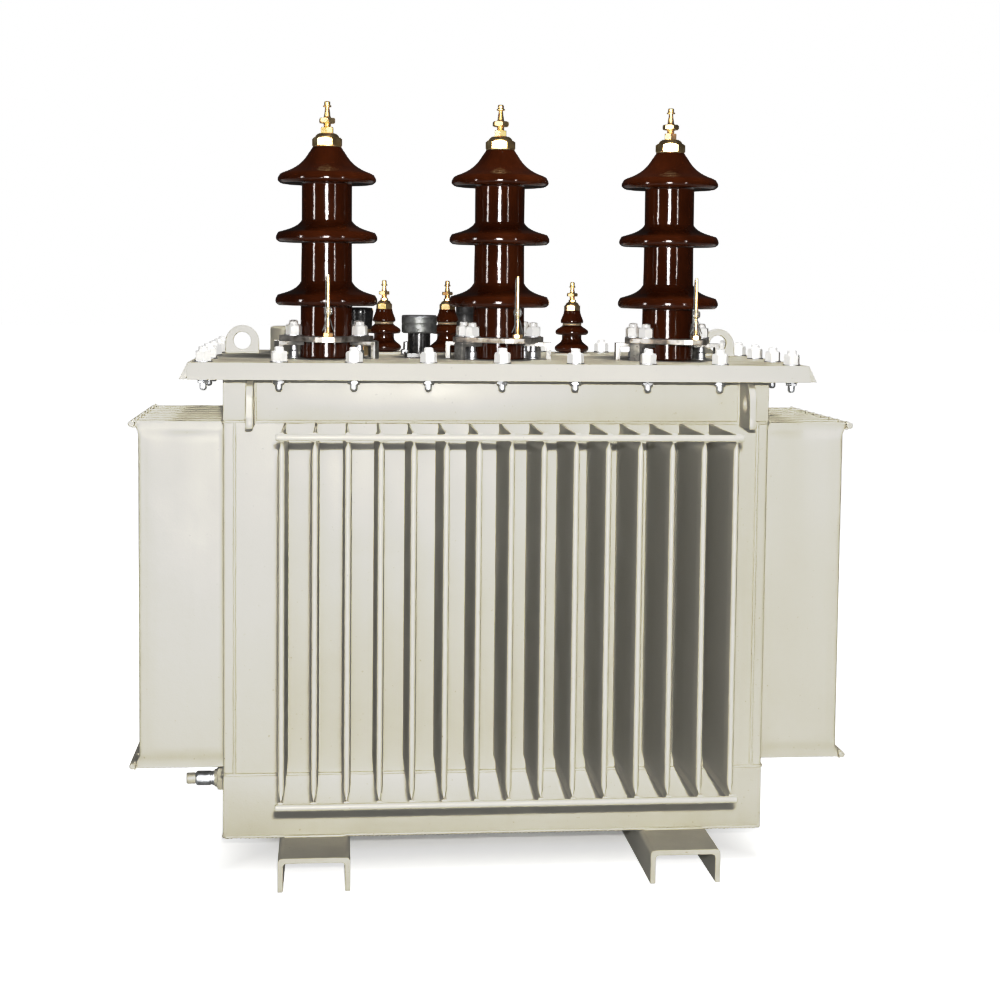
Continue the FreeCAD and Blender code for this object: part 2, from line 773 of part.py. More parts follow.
def makeLvTerminal(name, across):
    deep = "sizes.lv_row_setback"
    seat = COVER_TOP + " + sizes.lv_pad_height + sizes.lv_seat + sizes.lv_ring_thick"
    capSeat = seat + " + sizes.lv_cone_height"
    capTop = capSeat + " + sizes.lv_cap_height"
    cap = hexagon(name + "_cap", "sizes.lv_cap_across", "sizes.lv_cap_height", across, deep, capSeat)
    nut = hexagon(
        name + "_nut", "sizes.lv_nut_across", "sizes.lv_nut_height", across, deep,
        capTop + " + sizes.lv_nut_gap",
    )
    stud = cylinder(
        name + "_stud", "sizes.lv_stud_radius",
        "sizes.lv_cap_height + sizes.lv_nut_gap + sizes.lv_nut_height + sizes.lv_stud_rise",
        across, deep, capSeat,
    )
    return fuse(name, [cap, nut, stud])


def makeLvRow():
    rings = []
    cones = []
    terminals = []
    for number in range(4):
        across = "sizes.lv_first + %d * sizes.lv_pitch" % number
        makeLvPorcelain("lv_porcelain_%d" % (number + 1), across)
        seat = COVER_TOP + " + sizes.lv_pad_height + sizes.lv_seat"
        rings.append(cylinder("lv_ring_%d" % number, "sizes.lv_ring_radius", "sizes.lv_ring_thick",
                              across, "sizes.lv_row_setback", seat))
        cone = doc.addObject("Part::Cone", "lv_cone_%d" % number)
        bind(cone, {
            "Radius1": "sizes.lv_cone_low_radius",
            "Radius2": "sizes.lv_cone_high_radius",
            "Height": "sizes.lv_cone_height",
        })
        place(cone, across, "sizes.lv_row_setback", seat + " + sizes.lv_ring_thick")
        cones.append(cone)
        terminals.append(makeLvTerminal("lv_terminal_%d" % number, across))
    keep(group("lv_gasket_rings", rings), "lv_gasket_rings")
    keep(group("lv_top_porcelains", cones), "lv_top_porcelains")
    keep(group("lv_terminals", terminals), "lv_terminals")


# ---------------------------------------------------------------- lifting eyes and lugs
def makeCoverEyes():
    for side, label in ((-1, "left_cover_eye"), (1, "right_cover_eye")):
        middle = "%d * (%s - sizes.eye_inset)" % (side, TANK_SIDE)
        back = "sizes.eye_setback + sizes.eye_thick / 2"
        crown = "sizes.eye_height - sizes.eye_width / 2"
        slab = box(
            label + "_slab", "sizes.eye_width", "sizes.eye_thick", crown,
            middle + " - sizes.eye_width / 2", back + " - sizes.eye_thick", COVER_TOP,
        )
        head = cylinder(label + "_head", "sizes.eye_width / 2", "sizes.eye_thick",
                        middle, back, COVER_TOP + " + " + crown)
        head.Angle = 180
        hole = cylinder(label + "_hole", "sizes.eye_hole_radius", "sizes.eye_thick",
                        middle, back, COVER_TOP + " + sizes.eye_hole_height")
        for item in (head, hole):
            turned(item, Vector(1, 0, 0), 90)
        keep(cut(label, fuse(label + "_blank", [slab, head]), hole), label)


def makeTankLugs():
    lugs = []
    for sideX in (-1, 1):
        for sideY in (-1, 1):
            name = "lug_%d" % len(lugs)
            across = "%d * (%s - sizes.lug_inset) - sizes.lug_thick / 2" % (sideX, TANK_SIDE)
            wall = "sizes.tank_width / 2"
            start = wall if sideY > 0 else "-(%s + sizes.lug_reach)" % wall
            slab = box(
                name + "_slab", "sizes.lug_thick", "sizes.lug_reach", "sizes.lug_height",
                across, start, FLANGE_UNDER + " - sizes.lug_height",
            )
            hole = cylinder(
                name + "_hole", "sizes.lug_hole_radius", "sizes.lug_thick", across,
                "%d * (%s + sizes.lug_hole_out)" % (sideY, wall),
                FLANGE_UNDER + " - sizes.lug_hole_drop",
            )
            turned(hole, Vector(0, 1, 0), 90)
            lugs.append(cut(name, slab, hole))
    keep(group("tank_lifting_lugs", lugs), "tank_lifting_lugs")


# ---------------------------------------------------------------- cover fittings
def makeFiller():
    across = "sizes.filler_offset"
    deep = "sizes.filler_setback"
    flange = box(
        "filler_flange", "sizes.filler_flange", "sizes.filler_flange",
        "sizes.filler_flange_thick", across + " - sizes.filler_flange / 2",
        deep + " - sizes.filler_flange / 2", COVER_TOP,
    )
    tube = cylinder("filler_tube", "sizes.filler_pipe_radius", "sizes.filler_pipe_height",
                    across, deep, COVER_TOP)
    keep(fuse("filler_pipe", [flange, tube]), "filler_pipe")
    coupling = cylinder("filler_coupling", "sizes.filler_cap_radius", "sizes.filler_cap_height",
                        across, deep, COVER_TOP + " + sizes.filler_pipe_height")
    keep(coupling, "filler_coupling")


def makePot():
    pot = cylinder("instrument_pot", "sizes.pot_radius", "sizes.pot_height",
                   "sizes.pot_inset - " + TANK_SIDE, "sizes.pot_setback", COVER_TOP)
    keep(pot, "instrument_pot")


def makeReliefValve():
    across = "sizes.valve_offset"
    deep = "sizes.valve_setback"
    stem = cylinder("relief_stem", "sizes.valve_stem_radius", "sizes.valve_stem_height",
                    across, deep, COVER_TOP)
    collar = cylinder(
        "relief_collar", "sizes.valve_ring_radius", "sizes.valve_ring_thick", across, deep,
        COVER_TOP + " + sizes.valve_stem_height - sizes.valve_ring_thick",
    )
    keep(fuse("relief_valve_stem", [stem, collar]), "relief_valve_stem")
    cap = doc.addObject("Part::Cone", "relief_valve_cap")
    bind(cap, {
        "Radius1": "sizes.valve_cap_low_radius",
        "Radius2": "sizes.valve_cap_high_radius",
        "Height": "sizes.valve_cap_height",
    })
    place(cap, across, deep, COVER_TOP + " + sizes.valve_stem_height")
    keep(cap, "relief_valve_cap")


def makeTapSwitch():
    across = "sizes.switch_offset"
    deep = "sizes.switch_setback"
    stem = cylinder("switch_stem", "sizes.switch_stem_radius", "sizes.switch_stem_height",
                    across, deep, COVER_TOP)
    head = cylinder("switch_head", "sizes.switch_head_radius", "sizes.switch_head_height",
                    across, deep, COVER_TOP + " + sizes.switch_stem_height")
    keep(fuse("tap_switch", [stem, head]), "tap_switch")


def makeEarthStud():
    stud = cylinder("earth_stud", "sizes.earth_radius", "sizes.earth_height",
                    "sizes.earth_offset", "sizes.earth_setback", COVER_TOP)
    keep(stud, "earth_stud")


def makeDrainValve():
    wall = "-(%s)" % TANK_SIDE
    sleeveStart = "-(%s + sizes.drain_hex_length)" % TANK_SIDE
    tipStart = "-(%s + sizes.drain_hex_length + sizes.drain_sleeve_length)" % TANK_SIDE
    spots = {"deep": "sizes.drain_setback", "up": "sizes.foot_height + sizes.drain_rise"}
    hexBody = hexagon("drain_hex", "sizes.drain_hex_across", "sizes.drain_hex_length",
                      wall, **spots)
    sleeve = cylinder("drain_sleeve", "sizes.drain_sleeve_radius", "sizes.drain_sleeve_length",
                      sleeveStart, **spots)
    tip = cylinder("drain_tip", "sizes.drain_tip_radius", "sizes.drain_tip_length",
                   tipStart, **spots)
    for item in (hexBody, sleeve, tip):
        turned(item, Vector(0, 1, 0), -90)
    keep(hexBody, "drain_valve_body")
    keep(fuse("drain_valve_spout", [sleeve, tip]), "drain_valve_spout")


# ---------------------------------------------------------------- build, check and write
makeFeet()
makeTankShell()
makeFinWalls()
makeTieBars()
makeRim()
makeCover()
makeHvRow()
makeLvRow()
makeCoverEyes()
makeTankLugs()
makeFiller()
makePot()
makeReliefValve()
makeTapSwitch()
makeEarthStud()
makeDrainValve()
doc.recompute()

for item in doc.Objects:
    if "Invalid" in item.State or "Error" in item.State:
        raise RuntimeError("%s did not compute: %s" % (item.Label, item.State))
for item in subparts:
    if item.Shape.isNull() or not item.Shape.isValid():
        raise RuntimeError("%s has no valid shape" % item.Label)

os.makedirs("parts", exist_ok=True)
for item in subparts:
    item.Shape.exportStep("parts/%s.step" % item.Label)
    print(item.Label, len(item.Shape.Solids), "solids", round(item.Shape.Volume / 1e3), "cm3")
print(len(subparts), "nodes")
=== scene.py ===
import math

import bmesh
import bpy
from mathutils import Matrix, Vector


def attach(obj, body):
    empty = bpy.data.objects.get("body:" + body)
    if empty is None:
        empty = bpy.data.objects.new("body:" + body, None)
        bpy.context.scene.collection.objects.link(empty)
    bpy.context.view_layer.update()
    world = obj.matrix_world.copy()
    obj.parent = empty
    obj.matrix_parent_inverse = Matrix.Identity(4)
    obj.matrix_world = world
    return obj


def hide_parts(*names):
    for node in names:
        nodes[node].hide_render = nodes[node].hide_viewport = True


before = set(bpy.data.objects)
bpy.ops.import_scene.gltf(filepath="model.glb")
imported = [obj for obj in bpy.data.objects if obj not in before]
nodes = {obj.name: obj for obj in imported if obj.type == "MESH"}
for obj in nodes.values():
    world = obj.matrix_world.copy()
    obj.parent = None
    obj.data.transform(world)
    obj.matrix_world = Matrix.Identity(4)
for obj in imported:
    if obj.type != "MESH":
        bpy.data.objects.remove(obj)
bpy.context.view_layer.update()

mm = 0.001
scene = bpy.context.scene
print("frame loaded,", len(nodes), "nodes")


# Materials: every finish is noise on Object coordinates; tones and metals hold their values in a dictionary.
paintTone = {
    "light": (0.62, 0.605, 0.545),
    "mid": (0.585, 0.57, 0.51),
    "dust": (0.37, 0.345, 0.29),
    "grime": (0.30, 0.27, 0.21),
    "roughLow": 0.35,
    "roughHigh": 0.50,
    "peelScale": 420,
    "peelDepth": 0.00012,
}


def newFinish(name):
    finish = bpy.data.materials.new(name)
    finish.use_nodes = True
    tree = finish.node_tree
    return finish, tree, tree.nodes["Principled BSDF"]


def feed(tree, socket, value):
    if isinstance(value, bpy.types.NodeSocket):
        tree.links.new(value, socket)
    else:
        socket.default_value = value


def setInputs(tree, node, **inputs):
    for key, value in inputs.items():
        feed(tree, node.inputs[key.replace("_", " ")], value)


def place(tree, kind, **inputs):
    node = tree.nodes.new(kind)
    setInputs(tree, node, **inputs)
    return node


def objectSpace(tree, stretch=(1, 1, 1)):
    source = place(tree, "ShaderNodeTexCoord").outputs["Object"]
    return place(tree, "ShaderNodeMapping", Scale=stretch, Vector=source).outputs["Vector"]


def noise(tree, scale, detail=4, stretch=(1, 1, 1), rough=0.55):
    return place(tree, "ShaderNodeTexNoise", Scale=scale, Detail=detail, Roughness=rough,
                 Vector=objectSpace(tree, stretch)).outputs["Fac"]


def ramp(tree, source, stops):
    node = tree.nodes.new("ShaderNodeValToRGB")
    while len(node.color_ramp.elements) < len(stops):
        node.color_ramp.elements.new(0.5)
    for element, (spot, colour) in zip(node.color_ramp.elements, stops):
        element.position = spot
        element.color = tuple(colour) + (1,)
    tree.links.new(source, node.inputs["Fac"])
    return node.outputs["Color"]


def spread(tree, source, low, high, fromLow=0.3, fromHigh=0.7):
    return place(tree, "ShaderNodeMapRange", From_Min=fromLow, From_Max=fromHigh, To_Min=low, To_Max=high,
                 Value=source).outputs["Result"]


def mixColour(tree, factor, first, second):
    node = tree.nodes.new("ShaderNodeMix")
    node.data_type = "RGBA"
    for slot, value in ((0, factor), (6, first), (7, second)):
        feed(tree, node.inputs[slot], value + (1,) if isinstance(value, tuple) else value)
    return node.outputs[2]


def combine(tree, way, first, second):
    node = tree.nodes.new("ShaderNodeMath")
    node.operation = way
    feed(tree, node.inputs[0], first)
    feed(tree, node.inputs[1], second)
    return node.outputs[0]


def relief(tree, shader, heights):
    last = None
    for source, depth in heights:
        bump = place(tree, "ShaderNodeBump", Distance=depth, Strength=1.0, Height=source)
        if last is not None:
            tree.links.new(last, bump.inputs["Normal"])
        last = bump.outputs["Normal"]
    tree.links.new(last, shader.inputs["Normal"])


def facing(tree, axis):
    geometry = tree.nodes.new("ShaderNodeNewGeometry")
    split = tree.nodes.new("ShaderNodeSeparateXYZ")
    tree.links.new(geometry.outputs["Normal"], split.inputs[0])
    return split.outputs[axis]


def paintFinish(name, tone, dustAmount):
    finish, tree, shader = newFinish(name)
    broad = noise(tree, 3.2, 5)
    base = ramp(tree, broad, [(0.3, tone["mid"]), (0.7, tone["light"])])
    streaks = spread(tree, noise(tree, 9, 6, (1, 1, 0.09)), 0.0, 0.16, 0.56, 0.8)
    base = mixColour(tree, streaks, base, tone["dust"])
    upward = spread(tree, facing(tree, 2), 0.0, 1.0, 0.55, 0.95)
    patches = spread(tree, noise(tree, 14, 8), 0.35, 1.0, 0.35, 0.65)
    dusty = combine(tree, "MULTIPLY", combine(tree, "MULTIPLY", upward, patches), dustAmount)
    base = mixColour(tree, dusty, base, tone["dust"])
    specks = spread(tree, noise(tree, 190, 3), 0.0, 0.5, 0.69, 0.76)
    base = mixColour(tree, specks, base, tone["grime"])
    gloss = combine(tree, "ADD", spread(tree, noise(tree, 11, 6), tone["roughLow"], tone["roughHigh"]),
                    combine(tree, "MULTIPLY", dusty, 0.25))
    setInputs(tree, shader, Base_Color=base, Roughness=gloss, Specular_IOR_Level=0.3)
    relief(tree, shader, [(noise(tree, 12, 3), 0.0012), (noise(tree, tone["peelScale"], 2),
        tone["peelDepth"])])
    return finish


def metalFinish(name, spec):
    finish, tree, shader = newFinish(name)
    base = ramp(tree, noise(tree, spec["patch"], 6, spec.get("stretch", (1, 1, 1))),
                [(0.32, spec["dark"]), (0.68, spec["light"])])
    grime = spread(tree, noise(tree, spec["patch"] * 3.1, 5), 0.0, spec["grimeAmount"], 0.52, 0.72)
    base = mixColour(tree, grime, base, spec["grime"])
    rough = spread(tree, noise(tree, spec["patch"] * 2, 5), spec["roughLow"], spec["roughHigh"])
    rough = combine(tree, "ADD", rough, combine(tree, "MULTIPLY", grime, 0.3))
    setInputs(tree, shader, Base_Color=base, Metallic=spec["metal"], Roughness=rough)
    relief(tree, shader, [(noise(tree, spec["grain"], 3, spec.get("stretch", (1, 1, 1))),
        spec["grainDepth"])])
    return finish


def glazeFinish(name):
    finish, tree, shader = newFinish(name)
    base = ramp(tree, noise(tree, 22, 6, (1, 1, 0.5)),
                [(0.3, (0.040, 0.0080, 0.0022)), (0.55, (0.068, 0.0135, 0.0032)),
                    (0.8, (0.105, 0.024, 0.006))])
    pits = spread(tree, noise(tree, 330, 3), 0.0, 0.8, 0.72, 0.78)
    base = mixColour(tree, pits, base, (0.018, 0.004, 0.002))
    setInputs(tree, shader, Base_Color=base, Roughness=spread(tree, noise(tree, 16, 4), 0.05, 0.13), IOR=1.52,
              Specular_IOR_Level=0.35, Coat_Weight=0.12, Coat_Roughness=0.04)
    relief(tree, shader, [(noise(tree, 34, 3), 0.0006), (noise(tree, 210, 2), 0.00004)])
    return finish


def clearFinish(name):
    finish, tree, shader = newFinish(name)
    base = ramp(tree, noise(tree, 60, 3), [(0.3, (0.80, 0.84, 0.86)), (0.7, (0.95, 0.96, 0.96))])
    setInputs(tree, shader, Base_Color=base, Transmission_Weight=0.75, IOR=1.45,
              Roughness=spread(tree, noise(tree, 80, 3), 0.05, 0.2))
    return finish


def metal(dark, light, grime, grimeAmount, roughLow, roughHigh, patch=30, grain=500, grainDepth=0.00005,
          metalness=1.0, stretch=(1, 1, 1)):
    return {"dark": dark, "light": light, "grime": grime, "grimeAmount": grimeAmount, "roughLow": roughLow,
            "roughHigh": roughHigh, "patch": patch, "grain": grain, "grainDepth": grainDepth,
            "metal": metalness, "stretch": stretch}


paint = paintFinish("tank_paint", paintTone, 0.35)
coverPaint = paintFinish("cover_paint", paintTone, 0.62)
glaze = glazeFinish("brown_glaze")
brass = metalFinish("polished_brass", metal((0.62, 0.44, 0.21), (0.78, 0.61, 0.36), (0.34, 0.21, 0.08), 0.15,
                                            0.36, 0.50, 45, 420, 0.00002))
clampSteel = metalFinish("clamp_steel", metal((0.19, 0.165, 0.145), (0.60, 0.57, 0.53), (0.05, 0.038, 0.03),
                                              0.5, 0.42, 0.60, 38, 260, 0.00010))
zinc = metalFinish("zinc_steel", metal((0.42, 0.43, 0.45), (0.66, 0.67, 0.69), (0.16, 0.14, 0.12), 0.3,
                                       0.40, 0.54, 70))
clawSteel = metalFinish("claw_steel", metal((0.20, 0.195, 0.185), (0.46, 0.45, 0.43), (0.06, 0.05, 0.04), 0.5,
                                            0.45, 0.62, 60, 240, 0.0001))
capPlastic = metalFinish("white_caps", metal((0.90, 0.90, 0.89), (0.95, 0.95, 0.95), (0.62, 0.60, 0.56), 0.15,
                                             0.26, 0.40, 60, 300, 0.00008, 0.0))
rubber = metalFinish("gasket_rubber", metal((0.018, 0.018, 0.017), (0.045, 0.043, 0.04), (0.12, 0.11, 0.09),
    0.4,
                                            0.6, 0.8, 60, 240, 0.0002, 0.0))
ringPlastic = metalFinish("seal_ring_beige", metal((0.50, 0.40, 0.26), (0.66, 0.56, 0.40), (0.22, 0.15, 0.08),
    0.3,
                                                   0.4, 0.55, 70, 240, 0.0001, 0.0))
castGrey = metalFinish("cast_grey", metal((0.10, 0.105, 0.105), (0.22, 0.225, 0.22), (0.03, 0.028, 0.025),
    0.6,
                                          0.42, 0.62, 65, 170, 0.0003, 0.55))
gloss = metalFinish("black_gloss", metal((0.010, 0.010, 0.011), (0.022, 0.022, 0.023), (0.09, 0.085, 0.07),
    0.25,
                                         0.14, 0.30, 40, 260, 0.00008, 0.0))
darkGrey = metalFinish("dark_grey", metal((0.035, 0.036, 0.038), (0.085, 0.086, 0.088), (0.16, 0.15, 0.13),
    0.3,
                                          0.35, 0.52, 50, 220, 0.00012, 0.0))
clearBead = clearFinish("clear_bead")
print("materials made")


# Mesh helpers. Every shape is made in place, in metres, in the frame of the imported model.
def finishMesh(mesh, finish, sharpAngle=32):
    mesh.materials.clear()
    mesh.materials.append(finish)
    for face in mesh.polygons:
        face.material_index = 0
    mesh.shade_smooth()
    mesh.set_sharp_from_angle(angle=math.radians(sharpAngle))


def addPiece(name, shape, finish, replaced=(), sharpAngle=32):
    if isinstance(shape, bmesh.types.BMesh):
        bmesh.ops.recalc_face_normals(shape, faces=shape.faces)
        mesh = bpy.data.meshes.new(name)
        shape.to_mesh(mesh)
        shape.free()
    else:
        mesh = shape
        mesh.name = name
    finishMesh(mesh, finish, sharpAngle)
    piece = bpy.data.objects.new(name, mesh)
    scene.collection.objects.link(piece)
    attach(piece, "root")
    if replaced:
        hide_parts(*replaced)
    return piece


def shapeMesh(name, bm):
    bmesh.ops.recalc_face_normals(bm, faces=bm.faces)
    mesh = bpy.data.meshes.new(name)
    bm.to_mesh(mesh)
    bm.free()
    return mesh


def evaluated(base):
    graph = bpy.context.evaluated_depsgraph_get()
    mesh = bpy.data.meshes.new_from_object(base.evaluated_get(graph), depsgraph=graph)
    oldMesh = base.data
    bpy.data.objects.remove(base)
    if isinstance(oldMesh, bpy.types.Mesh):
        bpy.data.meshes.remove(oldMesh)
    return mesh


def softened(name, members, width, segments, finish, limit=26):
    bm = bmesh.new()
    for member in members:
        bm.from_mesh(nodes[member].data)
    bmesh.ops.remove_doubles(bm, verts=bm.verts, dist=1e-5)
    bmesh.ops.dissolve_limit(bm, angle_limit=math.radians(1.0), verts=bm.verts, edges=bm.edges)
    mesh = bpy.data.meshes.new(name + "_blank")
    bm.to_mesh(mesh)
    bm.free()
    blank = bpy.data.objects.new(name + "_blank", mesh)
    scene.collection.objects.link(blank)
    bevel = blank.modifiers.new("rounding", "BEVEL")
    bevel.width = width * mm
    bevel.segments = segments
    bevel.limit_method = "ANGLE"
    bevel.angle_limit = math.radians(limit)
    return addPiece(name, evaluated(blank), finish, members, 34)


def ringOf(bm, points):
    return [bm.verts.new([value * mm for value in point]) for point in points]


def stitchRings(bm, rings):
    for low, high in zip(rings, rings[1:]):
        if len(low) == 1 or len(high) == 1:
            tip, loop = (low[0], high) if len(low) == 1 else (high[0], low)
            for number in range(len(loop)):
                bm.faces.new((tip, loop[number], loop[(number + 1) % len(loop)]))
            continue
        for number in range(len(low)):
            ahead = (number + 1) % len(low)
            bm.faces.new((low[number], low[ahead], high[ahead], high[number]))


def heldFlat(profile, longest=12, margin=0.8):
    # A ring near each end of a long straight run, so the run keeps its own normals.
    run = [tuple(profile[0])]
    for first, last in zip(profile, profile[1:]):
        start, end = Vector(first), Vector(last)
        length = (end - start).length
        if length > longest and start.x > 0 and end.x > 0:
            run += [tuple(start.lerp(end, share)) for share in (margin / length, 0.5, 1 - margin / length)]
        run.append(tuple(last))
    return run


def turned(bm, profile, centre=(0, 0), segments=48):
    rings = []
    for radius, height in heldFlat(profile):
        if radius <= 0:
            rings.append(ringOf(bm, [(centre[0], centre[1], height)]))
            continue
        angles = [2 * math.pi * number / segments for number in range(segments)]
        rings.append(ringOf(bm, [(centre[0] + radius * math.cos(angle), centre[1] + radius * math.sin(angle),
            height)
                                 for angle in angles]))
    stitchRings(bm, rings)


def roundedRun(points, steps=4):
    run = []
    for number, (across, up, soft) in enumerate(points):
        here = Vector((across, up))
        if not soft or number in (0, len(points) - 1):
            run.append(tuple(here))
            continue
        back = Vector(points[number - 1][:2]) - here
        ahead = Vector(points[number + 1][:2]) - here
        reach = min(soft, back.length * 0.48, ahead.length * 0.48)
        start = here + back.normalized() * reach
        end = here + ahead.normalized() * reach
        for step in range(steps + 1):
            share = step / steps
            run.append(tuple(start * (1 - share) ** 2 + here * 2 * share * (1 - share) + end * share ** 2))
    return run


def hexNut(bm, centre, across, low, high, turn=0, chamfer=1.2, lowChamfer=True, sides=24):
    flat = across / 2
    corner = flat / math.cos(math.pi / 6)
    rings = []
    levels = [(low, "lowCap"), (low, "lowSide"), (high, "highSide"), (high, "highCap")]
    for height, kind in levels:
        ring = []
        for number in range(sides):
            angle = 2 * math.pi * number / sides
            local = (angle + math.pi / 6) % (math.pi / 3) - math.pi / 6
            radius = flat / math.cos(local)
            drop = chamfer * (radius - flat) / (corner - flat)
            level = height
            if kind == "lowSide" and lowChamfer:
                level = height + drop
            if kind == "highSide":
                level = height - drop
            if kind.endswith("Cap"):
                radius = flat * 0.985 if (kind == "highCap" or lowChamfer) else radius * 0.985
            ring.append((centre[0] + radius * math.cos(angle + turn),
                centre[1] + radius * math.sin(angle + turn),
                         level))
        rings.append(ringOf(bm, ring))
    stitchRings(bm, rings)
    for ring in (rings[0], rings[-1]):
        bm.faces.new(ring)


def threaded(radius, low, high, pitch=1.5, depth=0.5):
    run = [(radius - depth, low)]
    height = low
    while height + pitch < high:
        run += [(radius, height + pitch * 0.35), (radius, height + pitch * 0.6),
            (radius - depth, height + pitch)]
        height += pitch
    return run


def extruded(bm, outlinePoints, place3, low, high, edge=0.8):
    # A closed outline swept between two levels, its end edges chamfered; place3 puts a point in space.
    count = len(outlinePoints)
    insets = []
    for number in range(count):
        here = Vector(outlinePoints[number])
        before = Vector(outlinePoints[number - 1])
        after = Vector(outlinePoints[(number + 1) % count])
        along = (after - before).normalized()
        insets.append(Vector((-along.y, along.x)))
    onward = list(outlinePoints[1:]) + [outlinePoints[0]]
    area = sum(here[0] * after[1] - after[0] * here[1] for here, after in zip(outlinePoints, onward))
    inward = 1 if area > 0 else -1
    rings = []
    for level, shrink in ((low, edge), (low + edge, 0), (high - edge, 0), (high, edge)):
        ring = []
        for number in range(count):
            spot = Vector(outlinePoints[number]) + insets[number] * inward * shrink
            ring.append(bm.verts.new(Vector(place3(spot.x, spot.y, level)) * mm))
        rings.append(ring)
    stitchRings(bm, rings)
    bm.faces.new(rings[0])
    bm.faces.new(rings[-1])


def lathe(name, profile, centre, segments, finish, replaced=(), sharpAngle=32, steps=4):
    bm = bmesh.new()
    turned(bm, roundedRun(profile, steps), centre, segments)
    return addPiece(name, bm, finish, replaced, sharpAngle)


def moved(bm, start, matrix):
    bmesh.ops.transform(bm, matrix=matrix, verts=list(bm.verts)[start:])


# Geometry Nodes: one tree puts a shape on every point, the other lays a rippled weld bead along edges.
def treeNode(tree, kind, **settings):
    node = tree.nodes.new(kind)
    for key, value in settings.items():
        setattr(node, key, value)
    return node


def addInput(tree, name, kind, value=None):
    socket = tree.interface.new_socket(name, in_out="INPUT", socket_type=kind)
    if value is not None:
        socket.default_value = value
    return socket.identifier


def newTree(name, sockets):
    tree = bpy.data.node_groups.new(name, "GeometryNodeTree")
    addInput(tree, "Geometry", "NodeSocketGeometry")
    names = {key: addInput(tree, key, "NodeSocket" + kind, value) for key, kind, value in sockets}
    tree.interface.new_socket("Geometry", in_out="OUTPUT", socket_type="NodeSocketGeometry")
    return tree, names, treeNode(tree, "NodeGroupInput"), treeNode(tree, "NodeGroupOutput")


def wire(tree, *joins):
    for source, outlet, target, inlet in joins:
        tree.links.new(source.outputs[outlet], target.inputs[inlet])


def mathNode(tree, operation, slot=None, value=None):
    node = treeNode(tree, "ShaderNodeMath", operation=operation)
    if slot is not None:
        node.inputs[slot].default_value = value
    return node


def scatterTree():
    tree, names, entry, leave = newTree("shapesOnPoints", (
        ("shape", "Object", None), ("finish", "Material", None), ("turnSpread", "Float", 0.0),
        ("sizeSpread", "Float", 0.0), ("seed", "Int", 1)))
    points = treeNode(tree, "GeometryNodeMeshToPoints")
    shape = treeNode(tree, "GeometryNodeObjectInfo")
    turn = treeNode(tree, "GeometryNodeInputNamedAttribute", data_type="FLOAT")
    turn.inputs["Name"].default_value = "turn"
    chance = treeNode(tree, "FunctionNodeRandomValue", data_type="FLOAT")
    negative = mathNode(tree, "MULTIPLY", 1, -1)
    total = mathNode(tree, "ADD")
    rotation = treeNode(tree, "ShaderNodeCombineXYZ")
    size = treeNode(tree, "FunctionNodeRandomValue", data_type="FLOAT")
    size.inputs[3].default_value = 1
    smaller = mathNode(tree, "SUBTRACT", 0, 1)
    spots = treeNode(tree, "GeometryNodeInstanceOnPoints")
    real = treeNode(tree, "GeometryNodeRealizeInstances")
    colour = treeNode(tree, "GeometryNodeSetMaterial")
    wire(tree, (entry, "Geometry", points, "Mesh"), (entry, "shape", shape, "Object"),
         (entry, "turnSpread", negative, 0), (negative, 0, chance, 2), (entry, "turnSpread", chance, 3),
         (entry, "seed", chance, "Seed"), (entry, "seed", size, "Seed"),
         (entry, "sizeSpread", smaller, 1), (smaller, 0, size, 2),
         (turn, "Attribute", total, 0), (chance, 1, total, 1), (total, 0, rotation, "Z"),
         (points, "Points", spots, "Points"), (shape, "Geometry", spots, "Instance"),
         (rotation, 0, spots, "Rotation"), (size, 1, spots, "Scale"),
         (spots, "Instances", real, "Geometry"), (real, "Geometry", colour, "Geometry"),
         (entry, "finish", colour, "Material"), (colour, "Geometry", leave, 0))
    return tree, names


